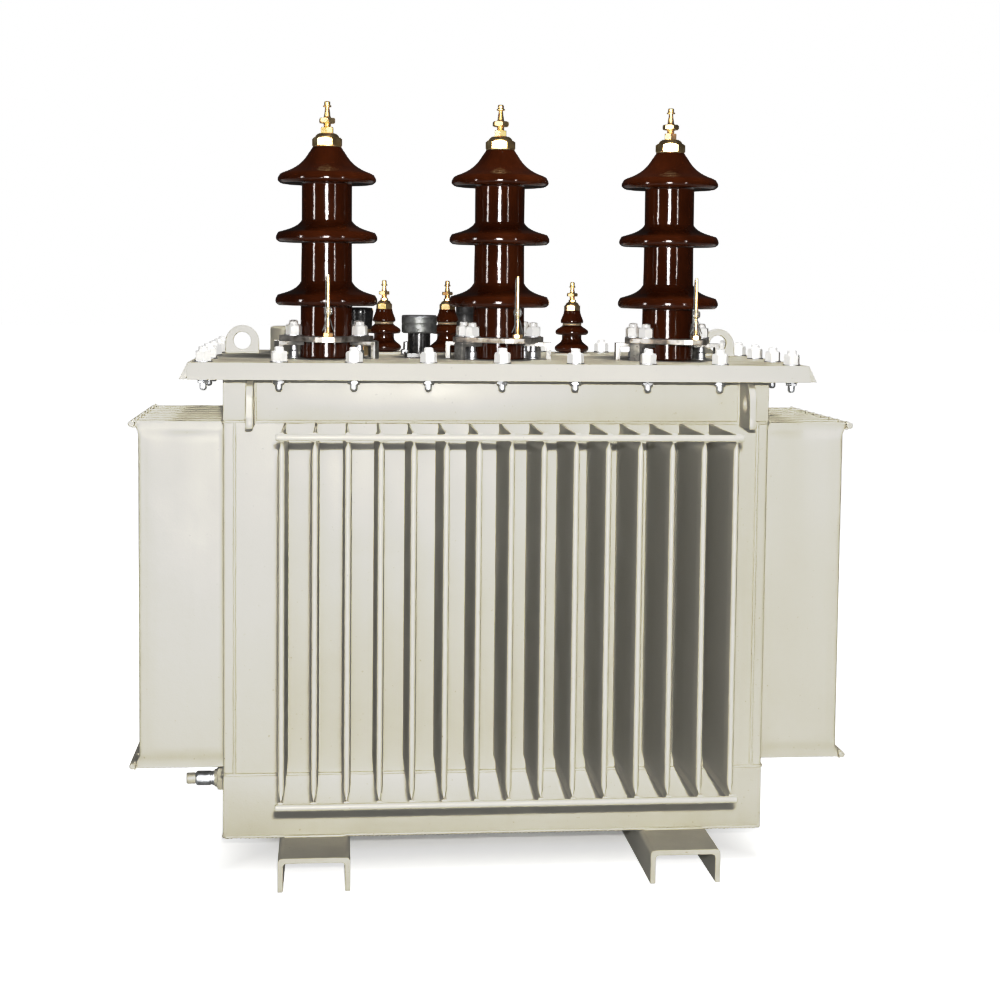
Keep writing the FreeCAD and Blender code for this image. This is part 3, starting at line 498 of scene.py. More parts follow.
def weldTree():
    tree, names, entry, leave = newTree("weldBeads", (
        ("beadRadius", "Float", 0.002), ("rippleLength", "Float", 0.006), ("rippleHeight", "Float", 0.12),
        ("unevenness", "Float", 0.3), ("step", "Float", 0.003), ("sides", "Int", 8), ("finish", "Material",
            None)))
    curve = treeNode(tree, "GeometryNodeMeshToCurve")
    finer = treeNode(tree, "GeometryNodeResampleCurve", mode="LENGTH")
    along = treeNode(tree, "GeometryNodeSplineParameter")
    phase = mathNode(tree, "DIVIDE")
    angle = mathNode(tree, "MULTIPLY", 1, 2 * math.pi)
    wave = mathNode(tree, "SINE")
    ripple = mathNode(tree, "MULTIPLY")
    uneven = treeNode(tree, "ShaderNodeTexNoise")
    uneven.inputs["Scale"].default_value = 45
    centred = mathNode(tree, "SUBTRACT", 1, 0.5)
    scaled = mathNode(tree, "MULTIPLY")
    both = mathNode(tree, "ADD")
    plusOne = mathNode(tree, "ADD", 1, 1)
    radius = treeNode(tree, "GeometryNodeSetCurveRadius")
    circle = treeNode(tree, "GeometryNodeCurvePrimitiveCircle", mode="RADIUS")
    bead = treeNode(tree, "GeometryNodeCurveToMesh")
    bead.inputs["Fill Caps"].default_value = True
    real = treeNode(tree, "GeometryNodeRealizeInstances")
    colour = treeNode(tree, "GeometryNodeSetMaterial")
    wire(tree, (entry, "Geometry", curve, "Mesh"), (curve, "Curve", finer, "Curve"),
         (entry, "step", finer, "Length"), (along, "Length", phase, 0), (entry, "rippleLength", phase, 1),
         (phase, 0, angle, 0), (angle, 0, wave, 0), (wave, 0, ripple, 0), (entry, "rippleHeight", ripple, 1),
         (uneven, 0, centred, 0), (centred, 0, scaled, 0), (entry, "unevenness", scaled, 1),
         (ripple, 0, both, 0), (scaled, 0, both, 1), (both, 0, plusOne, 0),
         (finer, "Curve", radius, "Curve"), (plusOne, 0, radius, "Radius"),
         (entry, "beadRadius", circle, "Radius"), (entry, "sides", circle, "Resolution"),
         (radius, "Curve", bead, "Curve"), (circle, "Curve", bead, "Profile Curve"))
    if "Scale" in bead.inputs:
        wire(tree, (treeNode(tree, "GeometryNodeInputRadius"), 0, bead, "Scale"))
    wire(tree, (bead, "Mesh", real, "Geometry"), (real, "Geometry", colour, "Geometry"),
         (entry, "finish", colour, "Material"), (colour, "Geometry", leave, 0))
    return tree, names


scatterNodes, scatterNames = scatterTree()
weldNodes, weldNames = weldTree()


def scatter(name, shape, spots, finish, replaced=(), turnSpread=0.0, sizeSpread=0.0, seed=1):
    # shape is a mesh about its own origin; spots are (x, y, z, turn) in mm and radians
    holder = bpy.data.objects.new(name + "_shape", shape)
    scene.collection.objects.link(holder)
    mesh = bpy.data.meshes.new(name + "_spots")
    mesh.from_pydata([Vector(spot[:3]) * mm for spot in spots], [], [])
    turns = mesh.attributes.new("turn", "FLOAT", "POINT")
    turns.data.foreach_set("value", [spot[3] for spot in spots])
    base = bpy.data.objects.new(name + "_spots", mesh)
    scene.collection.objects.link(base)
    modifier = base.modifiers.new("shapes", "NODES")
    modifier.node_group = scatterNodes
    for key, value in (("shape", holder), ("finish", finish), ("turnSpread", turnSpread),
                       ("sizeSpread", sizeSpread), ("seed", seed)):
        modifier[scatterNames[key]] = value
    result = evaluated(base)
    bpy.data.objects.remove(holder)
    return addPiece(name, result, finish, replaced)


def weld(name, runs, finish, radius=2.0, step=3.0, ripple=0.12, uneven=0.35, sides=8, length=6.0):
    # runs are lists of points in mm
    points = []
    edges = []
    for run in runs:
        first = len(points)
        points += [Vector(point) * mm for point in run]
        edges += [(first + number, first + number + 1) for number in range(len(run) - 1)]
    mesh = bpy.data.meshes.new(name + "_path")
    mesh.from_pydata(points, edges, [])
    base = bpy.data.objects.new(name + "_path", mesh)
    scene.collection.objects.link(base)
    modifier = base.modifiers.new("bead", "NODES")
    modifier.node_group = weldNodes
    for key, value in (("beadRadius", radius * mm), ("rippleLength", length * mm), ("rippleHeight", ripple),
                       ("unevenness", uneven), ("step", step * mm), ("sides", sides), ("finish", finish)):
        modifier[weldNames[key]] = value
    return addPiece(name, evaluated(base), finish, (), 60)


# Tank: folded bands, pressed fins, tie bars and the weld beads that join them.
tank = {
    "halfLength": 405,
    "halfWidth": 196,
    "bottom": 50,
    "lowSeam": 145,
    "highSeam": 668,
    "flangeUnder": 732,
    "wall": 3,
    "seamInset": 17,
}
fins = {
    "pitch": 45,
    "longCount": 15,
    "longDepth": 180,
    "shortCount": 8,
    "shortDepth": 130,
    "low": 148,
    "high": 665,
    "half": 4.6,
    "bulge": 0.9,
    "pinched": 1.4,
    "pinchFlat": 9,
    "pinchRise": 13,
    "lipReach": 4.5,
    "borderTip": 9,
    "borderRoot": 6,
}


def easeIn(value):
    value = max(0.0, min(1.0, value))
    return value * value * (3 - 2 * value)


def finShape(name, depth):
    # Fin along -Y from the wall's face at y = 0, flat welded ends, a bulged panel in each face.
    low, high = fins["low"], fins["high"]
    offsets = [0, 4, fins["pinchFlat"], 12, 15, 18, fins["pinchFlat"] + fins["pinchRise"], 26, 32, 60]
    heights = [low + value for value in offsets] + [low + (high - low) * share for share in (0.25, 0.5, 0.75)]
    heights += [high - value for value in reversed(offsets)]
    bm = bmesh.new()
    rings = []
    for height in heights:
        edge = min(height - low, high - height)
        opening = easeIn((edge - fins["pinchFlat"]) / fins["pinchRise"])
        full = fins["pinched"] + (fins["half"] - fins["pinched"]) * opening
        deep = depth - fins["lipReach"] * easeIn((edge - 5) / 14)
        reaches = [0, 2.5, fins["borderRoot"], 9, 13, 18, 30, deep * 0.5, deep - 30, deep - 18,
                   deep - fins["borderTip"] - 3, deep - fins["borderTip"], deep - 5.5]
        side = []
        for reach in reaches:
            inner = min(reach - fins["borderRoot"], deep - fins["borderTip"] - reach, edge - 20)
            flare = 2.6 * (1 - easeIn(reach / 6.0))
            corner = min(reach - 2, 22) / 22 if reach < 24 else 1
            half = full + fins["bulge"] * easeIn(inner / 7.0) * opening + flare * opening
            half = fins["pinched"] + (half - fins["pinched"]) * max(corner, 0.72)
            side.append((half, -reach))
        tip = []
        for step in range(1, 6):
            angle = math.pi / 2 * step / 5
            tip.append((full * math.cos(angle), -(deep - 5.5) - 5.5 * math.sin(angle)))
        right = side + tip
        left = [(-x, y) for x, y in reversed(right[:-1])]
        rings.append(ringOf(bm, [(x, y, height) for x, y in right + left]))
    stitchRings(bm, rings)
    bm.faces.new(rings[0])
    bm.faces.new(rings[-1])
    return shapeMesh(name, bm)


def finRow(count):
    return [(number - (count - 1) / 2) * fins["pitch"] for number in range(count)]


quarter = math.pi / 2
longRow = finRow(fins["longCount"])
shortRow = finRow(fins["shortCount"])
wallFace = tank["halfWidth"] - 0.5
sideFace = tank["halfLength"] - 0.5
for side, depth, spots in (
    ("front", fins["longDepth"], [(x, -wallFace, 0, 0) for x in longRow]),
    ("rear", fins["longDepth"], [(x, wallFace, 0, 2 * quarter) for x in longRow]),
    ("left", fins["shortDepth"], [(-sideFace, y, 0, -quarter) for y in shortRow]),
    ("right", fins["shortDepth"], [(sideFace, y, 0, quarter) for y in shortRow]),
):
    scatter(side + "_fins", finShape(side + "Fin", depth + 0.5), spots, paint, [side + "_fin_wall"])


def wallSheets():
    bm = bmesh.new()
    outer = roundedRun([
        (0, -tank["halfWidth"], 0), (tank["halfLength"], -tank["halfWidth"], 5),
        (tank["halfLength"], tank["halfWidth"], 5), (-tank["halfLength"], tank["halfWidth"], 5),
        (-tank["halfLength"], -tank["halfWidth"], 5), (0, -tank["halfWidth"], 0),
    ])[:-1]
    rings = []
    thick = tank["wall"]
    for height in (tank["lowSeam"], tank["highSeam"]):
        rings.append(ringOf(bm, [(x, y, height) for x, y in outer]))
    inner = [((abs(x) - thick) * math.copysign(1, x) if x else 0, (abs(y) - thick) * math.copysign(1, y))
             for x, y in outer]
    for height in (tank["highSeam"], tank["lowSeam"]):
        rings.append(ringOf(bm, [(x, y, height) for x, y in inner]))
    stitchRings(bm, rings + [rings[0]])
    return bm


addPiece("tank_wall_sheets", wallSheets(), paint)
softened("tank_skirt", ["lower_skirt"], 2.6, 3, paint)
softened("tank_frame", ["upper_frame"], 2.6, 3, paint)
softened("tank_bottom", ["tank_floor"], 1.0, 2, paint)
softened("tank_rim", ["tank_flange"], 1.6, 3, paint)
nodes["cover_gasket"].data.materials.clear()
nodes["cover_gasket"].data.materials.append(rubber)

tieBars = {"radius": 4.8, "inset": 3.5, "overhang": 3, "chamfer": 1.4}


def tieBar(bm, half, matrix):
    start = len(bm.verts)
    radius, chamfer = tieBars["radius"], tieBars["chamfer"]
    stops = [-half, -half + chamfer] + [half * share / 10 for share in range(-9, 10)] + [half - chamfer, half]
    run = [(0, -half), (radius - chamfer, -half)]
    run += [(radius, stop) for stop in stops[1:-1]] + [(radius - chamfer, half), (0, half)]
    turned(bm, run, (0, 0), 20)
    moved(bm, start, matrix)


barSides = (
    ("front", fins["longCount"], 0, -(tank["halfWidth"] + fins["longDepth"] + tieBars["radius"]), True),
    ("rear", fins["longCount"], 0, tank["halfWidth"] + fins["longDepth"] + tieBars["radius"], True),
    ("left", fins["shortCount"], -(tank["halfLength"] + fins["shortDepth"] + tieBars["radius"]), 0, False),
    ("right", fins["shortCount"], tank["halfLength"] + fins["shortDepth"] + tieBars["radius"], 0, False),
)
for sideName, count, across, deep, lengthways in barSides:
    half = (fins["pitch"] * (count - 1) + 10) / 2 + tieBars["overhang"]
    bars = bmesh.new()
    blobs = []
    for height in (fins["low"] + tieBars["inset"], fins["high"] - tieBars["inset"]):
        spot = Matrix.Translation(Vector((across, deep, height)) * mm)
        turn = Matrix.Rotation(quarter, 4, "Y" if lengthways else "X")
        tieBar(bars, half, spot @ turn)
        for offset in finRow(count):
            for up in (-1, 1):
                level = height + up * 4.6
                if lengthways:
                    inward = 3.2 if deep < 0 else -3.2
                    blobs.append([(offset - 3.4, deep + inward, level), (offset + 3.4, deep + inward, level)])
                else:
                    inward = 3.2 if across < 0 else -3.2
                    blobs.append([(across + inward, offset - 3.4, level),
                        (across + inward, offset + 3.4, level)])
    addPiece(sideName + "_bars", bars, paint, [sideName + "_tie_bars"])
    weld(sideName + "_bar_welds", blobs, paint, 2.1, 1.7, 0.1, 0.5, 7)


def around(halfX, halfY, height, corner=4):
    return [(x, y, height) for x, y in (
        (-halfX + corner, -halfY), (halfX - corner, -halfY), (halfX, -halfY + corner), (halfX,
            halfY - corner),
        (halfX - corner, halfY), (-halfX + corner, halfY), (-halfX, halfY - corner), (-halfX,
            -halfY + corner),
        (-halfX + corner, -halfY))]


seams = []
for height in (tank["lowSeam"], tank["highSeam"]):
    seams.append(around(tank["halfLength"] + 0.2, tank["halfWidth"] + 0.2, height))
seams.append(around(tank["halfLength"], tank["halfWidth"], tank["flangeUnder"] - 0.5))
seams.append(around(tank["halfLength"] - 1, tank["halfWidth"] - 1, tank["bottom"] + 1.5))
for x in (-1, 1):
    for y in (-1, 1):
        upright = x * (tank["halfLength"] - tank["seamInset"])
        seams.append([(upright, y * tank["halfWidth"], height) for height in (tank["lowSeam"],
            tank["highSeam"])])
weld("tank_seams", seams, paint, 2.5, 2.6, 0.16, 0.8, 8, 6.5)
finBeads = []
for height in (fins["low"] + 0.4, fins["high"] - 0.4):
    for x in longRow:
        for y in (-1, 1):
            finBeads.append([(x, y * (tank["halfWidth"] + far), height) for far in (0,
                fins["longDepth"] - 1)])
    for y in shortRow:
        for x in (-1, 1):
            finBeads.append([(x * (tank["halfLength"] + far), y, height) for far in (0,
                fins["shortDepth"] - 1)])
weld("fin_end_welds", finBeads, paint, 1.9, 4.0, 0.12, 0.35, 6, 8)
print("tank and fins made")


# Feet: channels with rounded folds, open side down.
feet = {"inset": 135, "halfWidth": 52, "height": 50, "sheet": 8, "halfRun": 292, "fold": 8}
footPlace = tank["halfLength"] - feet["inset"]
for footName, footX in (("left_foot", -footPlace), ("right_foot", footPlace)):
    channel = bmesh.new()
    half, sheet, top = feet["halfWidth"], feet["sheet"], feet["height"]
    section = roundedRun([
        (0, top, 0), (half, top, feet["fold"]), (half, 0, 1.5), (half - sheet, 0, 2.5), (half - sheet,
            top - sheet, 6),
        (sheet - half, top - sheet, 6), (sheet - half, 0, 2.5), (-half, 0, 1.5), (-half, top,
            feet["fold"]), (0, top, 0),
    ])[:-1]
    extruded(channel, section, lambda x, z, y: (x + footX, y, z), -feet["halfRun"], feet["halfRun"], 0.7)
    addPiece(footName, channel, paint, [footName + "_channel"])
footBeads = []
for footX in (-footPlace, footPlace):
    for side in (-1, 1):
        edge = footX + side * (feet["halfWidth"] - 5)
        footBeads.append([(edge, -tank["halfWidth"] + 14, 50.5), (edge, tank["halfWidth"] - 14, 50.5)])
    for side in (-1, 1):
        footBeads.append([(footX + end * 44, side * (tank["halfWidth"] + 0.6), 50.8) for end in (-1, 1)])
weld("foot_welds", footBeads, paint, 2.4, 3.0, 0.16, 0.5, 8, 7)


# Cover with its bent lips and the raised seats of the low-voltage bushings.
softened("cover", ["cover_plate"], 3.2, 4, coverPaint)
cover = {"top": 756}
lvRow = {"first": -163, "pitch": 103, "deep": 95, "count": 4}
lvSpots = [(lvRow["first"] + lvRow["pitch"] * number, lvRow["deep"]) for number in range(lvRow["count"])]
seats = bmesh.new()
for spot in lvSpots:
    turned(seats, roundedRun([(23, 759.8, 0), (27.6, 759.9, 2.5), (33, 756.2, 3.5), (37, 755.9, 0)], 5), spot,
        56)
addPiece("bushing_seats", seats, coverPaint)

# Lifting eyes and lugs.
eyes = {"x": 392, "nearY": 95, "thick": 10, "half": 27, "height": 45, "hole": 14, "holeUp": 20}
for eyeName, side in (("left", -1), ("right", 1)):
    eye = bmesh.new()
    outer = []
    bore = []
    steps = 64
    for number in range(steps):
        angle = 2 * math.pi * number / steps
        dx, dz = math.cos(angle), math.sin(angle)
        bore.append((side * eyes["x"] + eyes["hole"] * dx, cover["top"] + eyes["holeUp"] + eyes["hole"] * dz))
        crown = eyes["height"] - eyes["half"]
        if dz >= 0:
            outer.append((side * eyes["x"] + eyes["half"] * dx, cover["top"] + crown + eyes["half"] * dz))
        else:
            reach = min(eyes["half"] / max(abs(dx), 1e-6), (crown + 1) / max(abs(dz), 1e-6))
            outer.append((side * eyes["x"] + reach * dx, cover["top"] + crown + reach * dz))
    centreX, centreZ = side * eyes["x"], cover["top"] + eyes["holeUp"]
    rings = []
    near, far = eyes["nearY"], eyes["nearY"] + eyes["thick"]
    for points, inset, y in (
        (bore, 0, near + 1.2), (bore, 1.0, near), (outer, -1.2, near), (outer, 0, near + 1.4),
        (outer, 0, far - 1.4), (outer, -1.2, far), (bore, 1.0, far), (bore, 0, far - 1.2),
    ):
        ring = []
        for x, z in points:
            out = Vector((x - centreX, z - centreZ))
            grown = out * (1 + inset / out.length)
            ring.append((centreX + grown.x, y, centreZ + grown.y))
        rings.append(ringOf(eye, ring))
    stitchRings(eye, rings + [rings[0]])
    addPiece(eyeName + "_eye", eye, paint, [eyeName + "_cover_eye"], 40)
eyeBeads = []
for side in (-1, 1):
    for y in (eyes["nearY"] - 0.5, eyes["nearY"] + eyes["thick"] + 0.5):
        eyeBeads.append([(side * eyes["x"] + end * eyes["half"], y, cover["top"] + 0.8) for end in (-1, 1)])
lugs = {"x": 364, "thick": 10, "wall": 196, "reach": 67, "low": 663, "holeY": 234, "holeZ": 699, "hole": 13,
        "weldAside": 5.4, "weldLow": 665, "weldHigh": 729}
lugOutline = roundedRun([
    (lugs["wall"], lugs["low"], 0), (lugs["wall"] + lugs["reach"], lugs["low"], 2),
    (lugs["wall"] + lugs["reach"], 712, 14), (252, 726, 8), (240, 731.6, 2), (lugs["wall"], 731.6, 0),
], 5)


def edgeToward(points, centre, direction):
    # Where a ray from centre leaves the outline.
    best = 0
    for number in range(len(points)):
        a = Vector(points[number]) - centre
        b = Vector(points[(number + 1) % len(points)]) - centre
        side = b - a
        cross = direction.x * side.y - direction.y * side.x
        if abs(cross) < 1e-9:
            continue
        far = (a.x * side.y - a.y * side.x) / cross
        share = (a.x * direction.y - a.y * direction.x) / cross
        if far > 0 and -1e-6 <= share <= 1 + 1e-6:
            best = max(best, far)
    return best


def lugPlate(bm, x, way):
    centre = Vector((lugs["holeY"], lugs["holeZ"]))
    half = lugs["thick"] / 2
    rings = []
    for kind, inset, offset in (("bore", 0, -half + 1), ("bore", 1, -half), ("edge", -1, -half),
        ("edge", 0, -half + 1),
                                ("edge", 0, half - 1), ("edge", -1, half), ("bore", 1, half), ("bore", 0,
                                        half - 1)):
        ring = []
        for number in range(96):
            angle = 2 * math.pi * number / 96
            direction = Vector((math.cos(angle), math.sin(angle)))
            reach = lugs["hole"] if kind == "bore" else edgeToward(lugOutline, centre, direction)
            spot = centre + direction * (reach + inset)
            ring.append(bm.verts.new(Vector((x + offset, way * spot.x, spot.y)) * mm))
        rings.append(ring)
    stitchRings(bm, rings + [rings[0]])


lugMesh = bmesh.new()
for x in (-lugs["x"], lugs["x"]):
    for way in (-1, 1):
        lugPlate(lugMesh, x, way)
addPiece("lifting_lugs", lugMesh, paint, ["tank_lifting_lugs"], 38)
for x in (-lugs["x"], lugs["x"]):
    for y in (-1, 1):
        for side in (-1, 1):
            across, deep = x + side * lugs["weldAside"], y * (tank["halfWidth"] + 0.8)
            eyeBeads.append([(across, deep, lugs["weldLow"]), (across, deep, lugs["weldHigh"])])
weld("lug_and_eye_welds", eyeBeads, paint, 2.2, 2.6, 0.16, 0.45, 8, 6)
print("cover, feet and lugs made")


# Cover bolts: washer, nut with a white cap, and the nut and stud end under the flange.
bolts = {"frontY": 222, "sideX": 431, "alongX": 9, "alongY": 5, "capAcross": 21.5, "capHeight": 23.6}
boltSpots = []
for number in range(bolts["alongX"]):
    x = -bolts["sideX"] + 2 * bolts["sideX"] * number / (bolts["alongX"] - 1)
    boltSpots += [(x, -bolts["frontY"]), (x, bolts["frontY"])]
for number in range(1, bolts["alongY"] - 1):
    y = -bolts["frontY"] + 2 * bolts["frontY"] * number / (bolts["alongY"] - 1)
    boltSpots += [(-bolts["sideX"], y), (bolts["sideX"], y)]


def capShape(name):
    bm = bmesh.new()
    hexNut(bm, (0, 0), bolts["capAcross"], 1.4, 16.4, 0, 2.6, False)
    turned(bm, roundedRun([(8.0, 15.4, 0), (7.2, 17.6, 1.2), (6.8, 22.8, 2.2), (0, bolts["capHeight"], 0)],
        4), (0, 0), 24)
    return shapeMesh(name, bm)


def washerShape(name, radius, thick):
    bm = bmesh.new()
    turned(bm, [(0, 0), (radius - 0.4, 0), (radius, 0.4), (radius, thick - 0.5), (radius - 0.6, thick),
        (0, thick)], (0, 0), 36)
    return shapeMesh(name, bm)


def underNutShape(name):
    bm = bmesh.new()
    turned(bm, [(0, 0), (9.6, 0), (10, -0.4), (10, -1.5), (9.5, -2), (0, -2)], (0, 0), 28)
    hexNut(bm, (0, 0), 15.5, -6.4, -2, 0, 1.6)
    turned(bm, [(0, -6), (5.3, -6), (5.3, -13), (4.7, -15), (3.2, -16.6), (0, -17.2)], (0, 0), 24)
    return shapeMesh(name, bm)


clamps = {
    "left": (-256, 2), "middle": (10, 14.5), "right": (276, 20),  # centre across, turn in degrees
    "deep": -55, "high": 790, "studAcross": 50, "studDeep": 20, "rodCircle": 84,
}
studSpots = []
for phase in ("left", "middle", "right"):
    centreX, turn = clamps[phase]
    for sideX in (-1, 1):
        for sideY in (-1, 1):
            spin = math.radians(turn)
            x, y = sideX * clamps["studAcross"], sideY * clamps["studDeep"]
            studSpots.append((centreX + x * math.cos(spin) - y * math.sin(spin),
                              clamps["deep"] + x * math.sin(spin) + y * math.cos(spin)))
topSpots = [(x, y, cover["top"] + 0.05, 0) for x, y in boltSpots]
clampSpots = [(x, y, clamps["high"] + 0.05, 0) for x, y in studSpots]
scatter("bolt_caps", capShape("cap"), topSpots + clampSpots, capPlastic, (), math.pi, 0.03, 5)
scatter("bolt_washers", washerShape("washer", 13.2, 1.6), topSpots + clampSpots, zinc, (),
    math.pi, 0.02, 3)
scatter("flange_nuts", underNutShape("flangeNut"), [(x, y, tank["flangeUnder"], 0) for x, y in boltSpots],
    zinc,
        (), math.pi, 0.0, 9)
print("bolts made")


# High-voltage bushings.


def shedCurve(rim, rimTop, rise, body, steps=8):
    # From the rounded rim, gently up and then bending into the body.
    points = (Vector((rim - 3.5, rimTop)), Vector((rim - 14, rimTop + 3.6)),
              Vector((body + 7, rimTop + 6.5)), Vector((body, rise)))
    run = []
    for step in range(1, steps + 1):
        share = step / steps
        rest = 1 - share
        run.append(tuple(points[0] * rest ** 3 + points[1] * 3 * share * rest ** 2
                         + points[2] * 3 * share ** 2 * rest + points[3] * share ** 3))
    return run


def shedRim(rim, under, top, bodyBelow):
    return roundedRun([(bodyBelow, under - 12, 0), (bodyBelow, under + 1.8, 3.5), (rim - 18, under + 0.8, 3),
                       (rim - 5, under + 0.2, 3), (rim, under + 4.5, 5), (rim, top - 6, 5), (rim - 3.5, top,
                           0)], 5)


def hvProfile():
    run = [(0, 732), (26, 732), (26, 756)]
    run += roundedRun([(34, 756, 0), (40.4, 756.2, 2), (39.8, 790, 0)])[1:]
    for bodyLow, bodyHigh, rim, under, top, rise in ((39.4, 38.9, 78.0, 835.6, 852.0, 873),
            (38.4, 38.2, 77.4, 932.0, 947.6, 966)):
        run += shedRim(rim, under, top, bodyLow) + shedCurve(rim, top, rise, bodyHigh)
    run += shedRim(75, 1021.2, 1035.6, 38.2)
    run += [(66.5, 1038.2), (60, 1040.6), (53.5, 1043.6), (47, 1047.4), (41, 1052), (35.6, 1057.4),
        (31, 1063.4), (27.4, 1069),
            (24.6, 1073), (23, 1075.4), (22.2, 1077)]
    run += [(16, 1077.3), (0, 1077.3)]
    return run


def hvTerminalShape(bm, centre):
    turned(bm, roundedRun([(0, 1077, 0), (20.4, 1077, 1), (22.2, 1078, 0.8), (22.2, 1079.6, 0.6),
        (0, 1080, 0)]), centre, 64)
    hexNut(bm, centre, 40, 1079.6, 1092.0, 0.35, 2.6, False)
    turned(bm, roundedRun([(0, 1091, 0), (18.6, 1091.6, 0), (17.6, 1094.4, 1.5), (13.4, 1098.2, 2.5),
        (0, 1098.4, 0)]), centre, 64)
    turned(bm, roundedRun([(0, 1095, 0), (11.4, 1095.3, 0.5), (11.4, 1097.4, 0.5), (0, 1097.6, 0)]), centre,
        40)
    hexNut(bm, centre, 17.7, 1097.3, 1107.6, 0.9, 1.4)
    turned(bm, [(0, 1107)] + threaded(5.6, 1107.2, 1114, 1.5, 0.45) + [(5, 1114), (0, 1114)], centre, 28)
    hexNut(bm, centre, 22.4, 1113.6, 1121.4, 0.15, 1.7)
    turned(bm, roundedRun([(0, 1121, 0), (6.2, 1121.4, 0.4), (5.2, 1123.4, 0.6), (4.9, 1125, 0),
        (3.2, 1137.2, 0),
                           (3.4, 1137.8, 0), (6.3, 1138.4, 0.5), (6.4, 1140.2, 0.6), (4.6, 1141, 0.3), (4.6,
                               1145.6, 0.8),
                           (3.8, 1146.7, 0.4), (0, 1146.9, 0)]), centre, 32)


for phase in ("left", "middle", "right"):
    centre = (clamps[phase][0], clamps["deep"])
    porcelain = bmesh.new()
    turned(porcelain, hvProfile(), centre, 96)
    addPiece("hv_bushing_" + phase, porcelain, glaze, ["hv_porcelain_" + phase], 50)
    terminal = bmesh.new()
    hvTerminalShape(terminal, centre)
    addPiece("hv_stud_" + phase, terminal, brass, ["hv_terminal_" + phase], 38)
    softened("hv_clamp_" + phase, ["hv_clamp_plate_" + phase], 1.5, 3, clampSteel)

softened("clamp_claws", ["hv_clamp_claws"], 2.2, 4, clawSteel)
bosses = bmesh.new()
for x, y in studSpots:
    turned(bosses, roundedRun([(0, 756, 0), (8.4, 756, 0.6), (8.4, 758, 0.4), (7.0, 759, 0), (7.0, 767, 0.8),
        (5.4, 768.4, 0), (5.2, 776, 0),
                               (5.2, 790, 0), (5, 802, 0.8), (0, 802.4, 0)]), (x, y), 28)
addPiece("clamp_bosses", bosses, zinc, ["hv_clamp_studs"], 38)

# Arcing rods with their nuts, glass beads and wire clips.
rods = bmesh.new()
beads = bmesh.new()
clips = []
for phase in ("left", "middle", "right"):
    centreX, turn = clamps[phase]
    spin = math.radians(turn)
    x = centreX + clamps["rodCircle"] * math.sin(spin)
    y = clamps["deep"] - clamps["rodCircle"] * math.cos(spin)
    hexNut(rods, (x, y), 14, 790, 796.4, spin, 1.2)
    turned(rods, [(0, 790), (3.4, 796)] + threaded(2.7, 796, 806, 1.0, 0.3) + [(2.3, 806.5), (2.3, 880),
        (1.9, 883.2), (0, 884)], (x, y), 20)
    turned(beads, roundedRun([(2.4, 822, 0), (5.6, 823.5, 3), (6.6, 828.5, 3), (5.6, 833.5, 3),
        (2.4, 835, 0)]), (x, y), 28)
    clips.append([(x - 3.6, y - 1, 797), (x - 4.2, y - 1, 815), (x - 3.6, y - 1, 876),
        (x - 2.6, y - 0.4, 881)])
    clips.append([(x - 8.5, y - 2, 799), (x - 5, y - 3, 808), (x - 3.4, y - 3.4, 816), (x, y - 5, 821),
        (x + 3.4, y - 3.4, 816),
                  (x + 5, y - 3, 808), (x + 8.5, y - 2, 799)])
addPiece("arcing_rod_set", rods, brass, ["arcing_rods"], 38)
addPiece("arcing_beads", beads, clearBead, (), 50)
weld("arcing_clips", clips, castGrey, 0.8, 4, 0.0, 0.0, 8)
print("high-voltage bushings made")


# Low-voltage bushings.
def lvProfileLow():
    run = [(0, 740), (14, 740), (14, 760)]
    run += roundedRun([(19, 760, 0), (21.4, 760.3, 1), (21.3, 762.2, 1), (25.6, 762.2, 1.5), (28, 765.4, 2.4),
        (28, 769.4, 2.6), (23.4, 773.6, 3),
                       (18, 777.6, 3), (16, 782, 2), (16, 789.4, 1.5), (24.6, 789.6, 1.5), (27, 792, 2), (27,
                           796.4, 2.4), (22, 800, 3),
                       (17, 803, 2), (15.2, 805, 0), (0, 805, 0)], 4)
    return run


def lvProfileTop():
    return roundedRun([(0, 808.4, 0), (17.6, 808.5, 1.4), (18.8, 811, 2), (17.4, 816, 2.5), (14.2, 823, 3),
        (13.2, 829.4, 1), (0, 829.6, 0)], 5)


def lvTerminalShape(bm, centre):
    hexNut(bm, centre, 23, 829.4, 838.6, 0.2, 1.8, False)
    turned(bm, roundedRun([(0, 838, 0), (11.2, 838.4, 0), (9.6, 841.4, 1.2), (6, 843.6, 1), (0, 843.8, 0)]),
        centre, 44)
    hexNut(bm, centre, 10.6, 843.2, 847, 0.5, 0.9)
    turned(bm, [(0, 846)] + threaded(4.3, 846.4, 853, 1.25, 0.4) + [(0, 853)], centre, 24)
    hexNut(bm, centre, 16, 852.5, 858, 0.1, 1.3)
    turned(bm, roundedRun([(0, 857.6, 0), (4.6, 858, 0.3), (3.9, 860, 0.4), (3.0, 866.6, 0),
        (5.2, 867.4, 0.4), (5.2, 868.8, 0.4),
                           (3.7, 869.6, 0.3), (3.7, 874.8, 0.8), (3, 875.8, 0.3), (0, 876, 0)]), centre, 28)


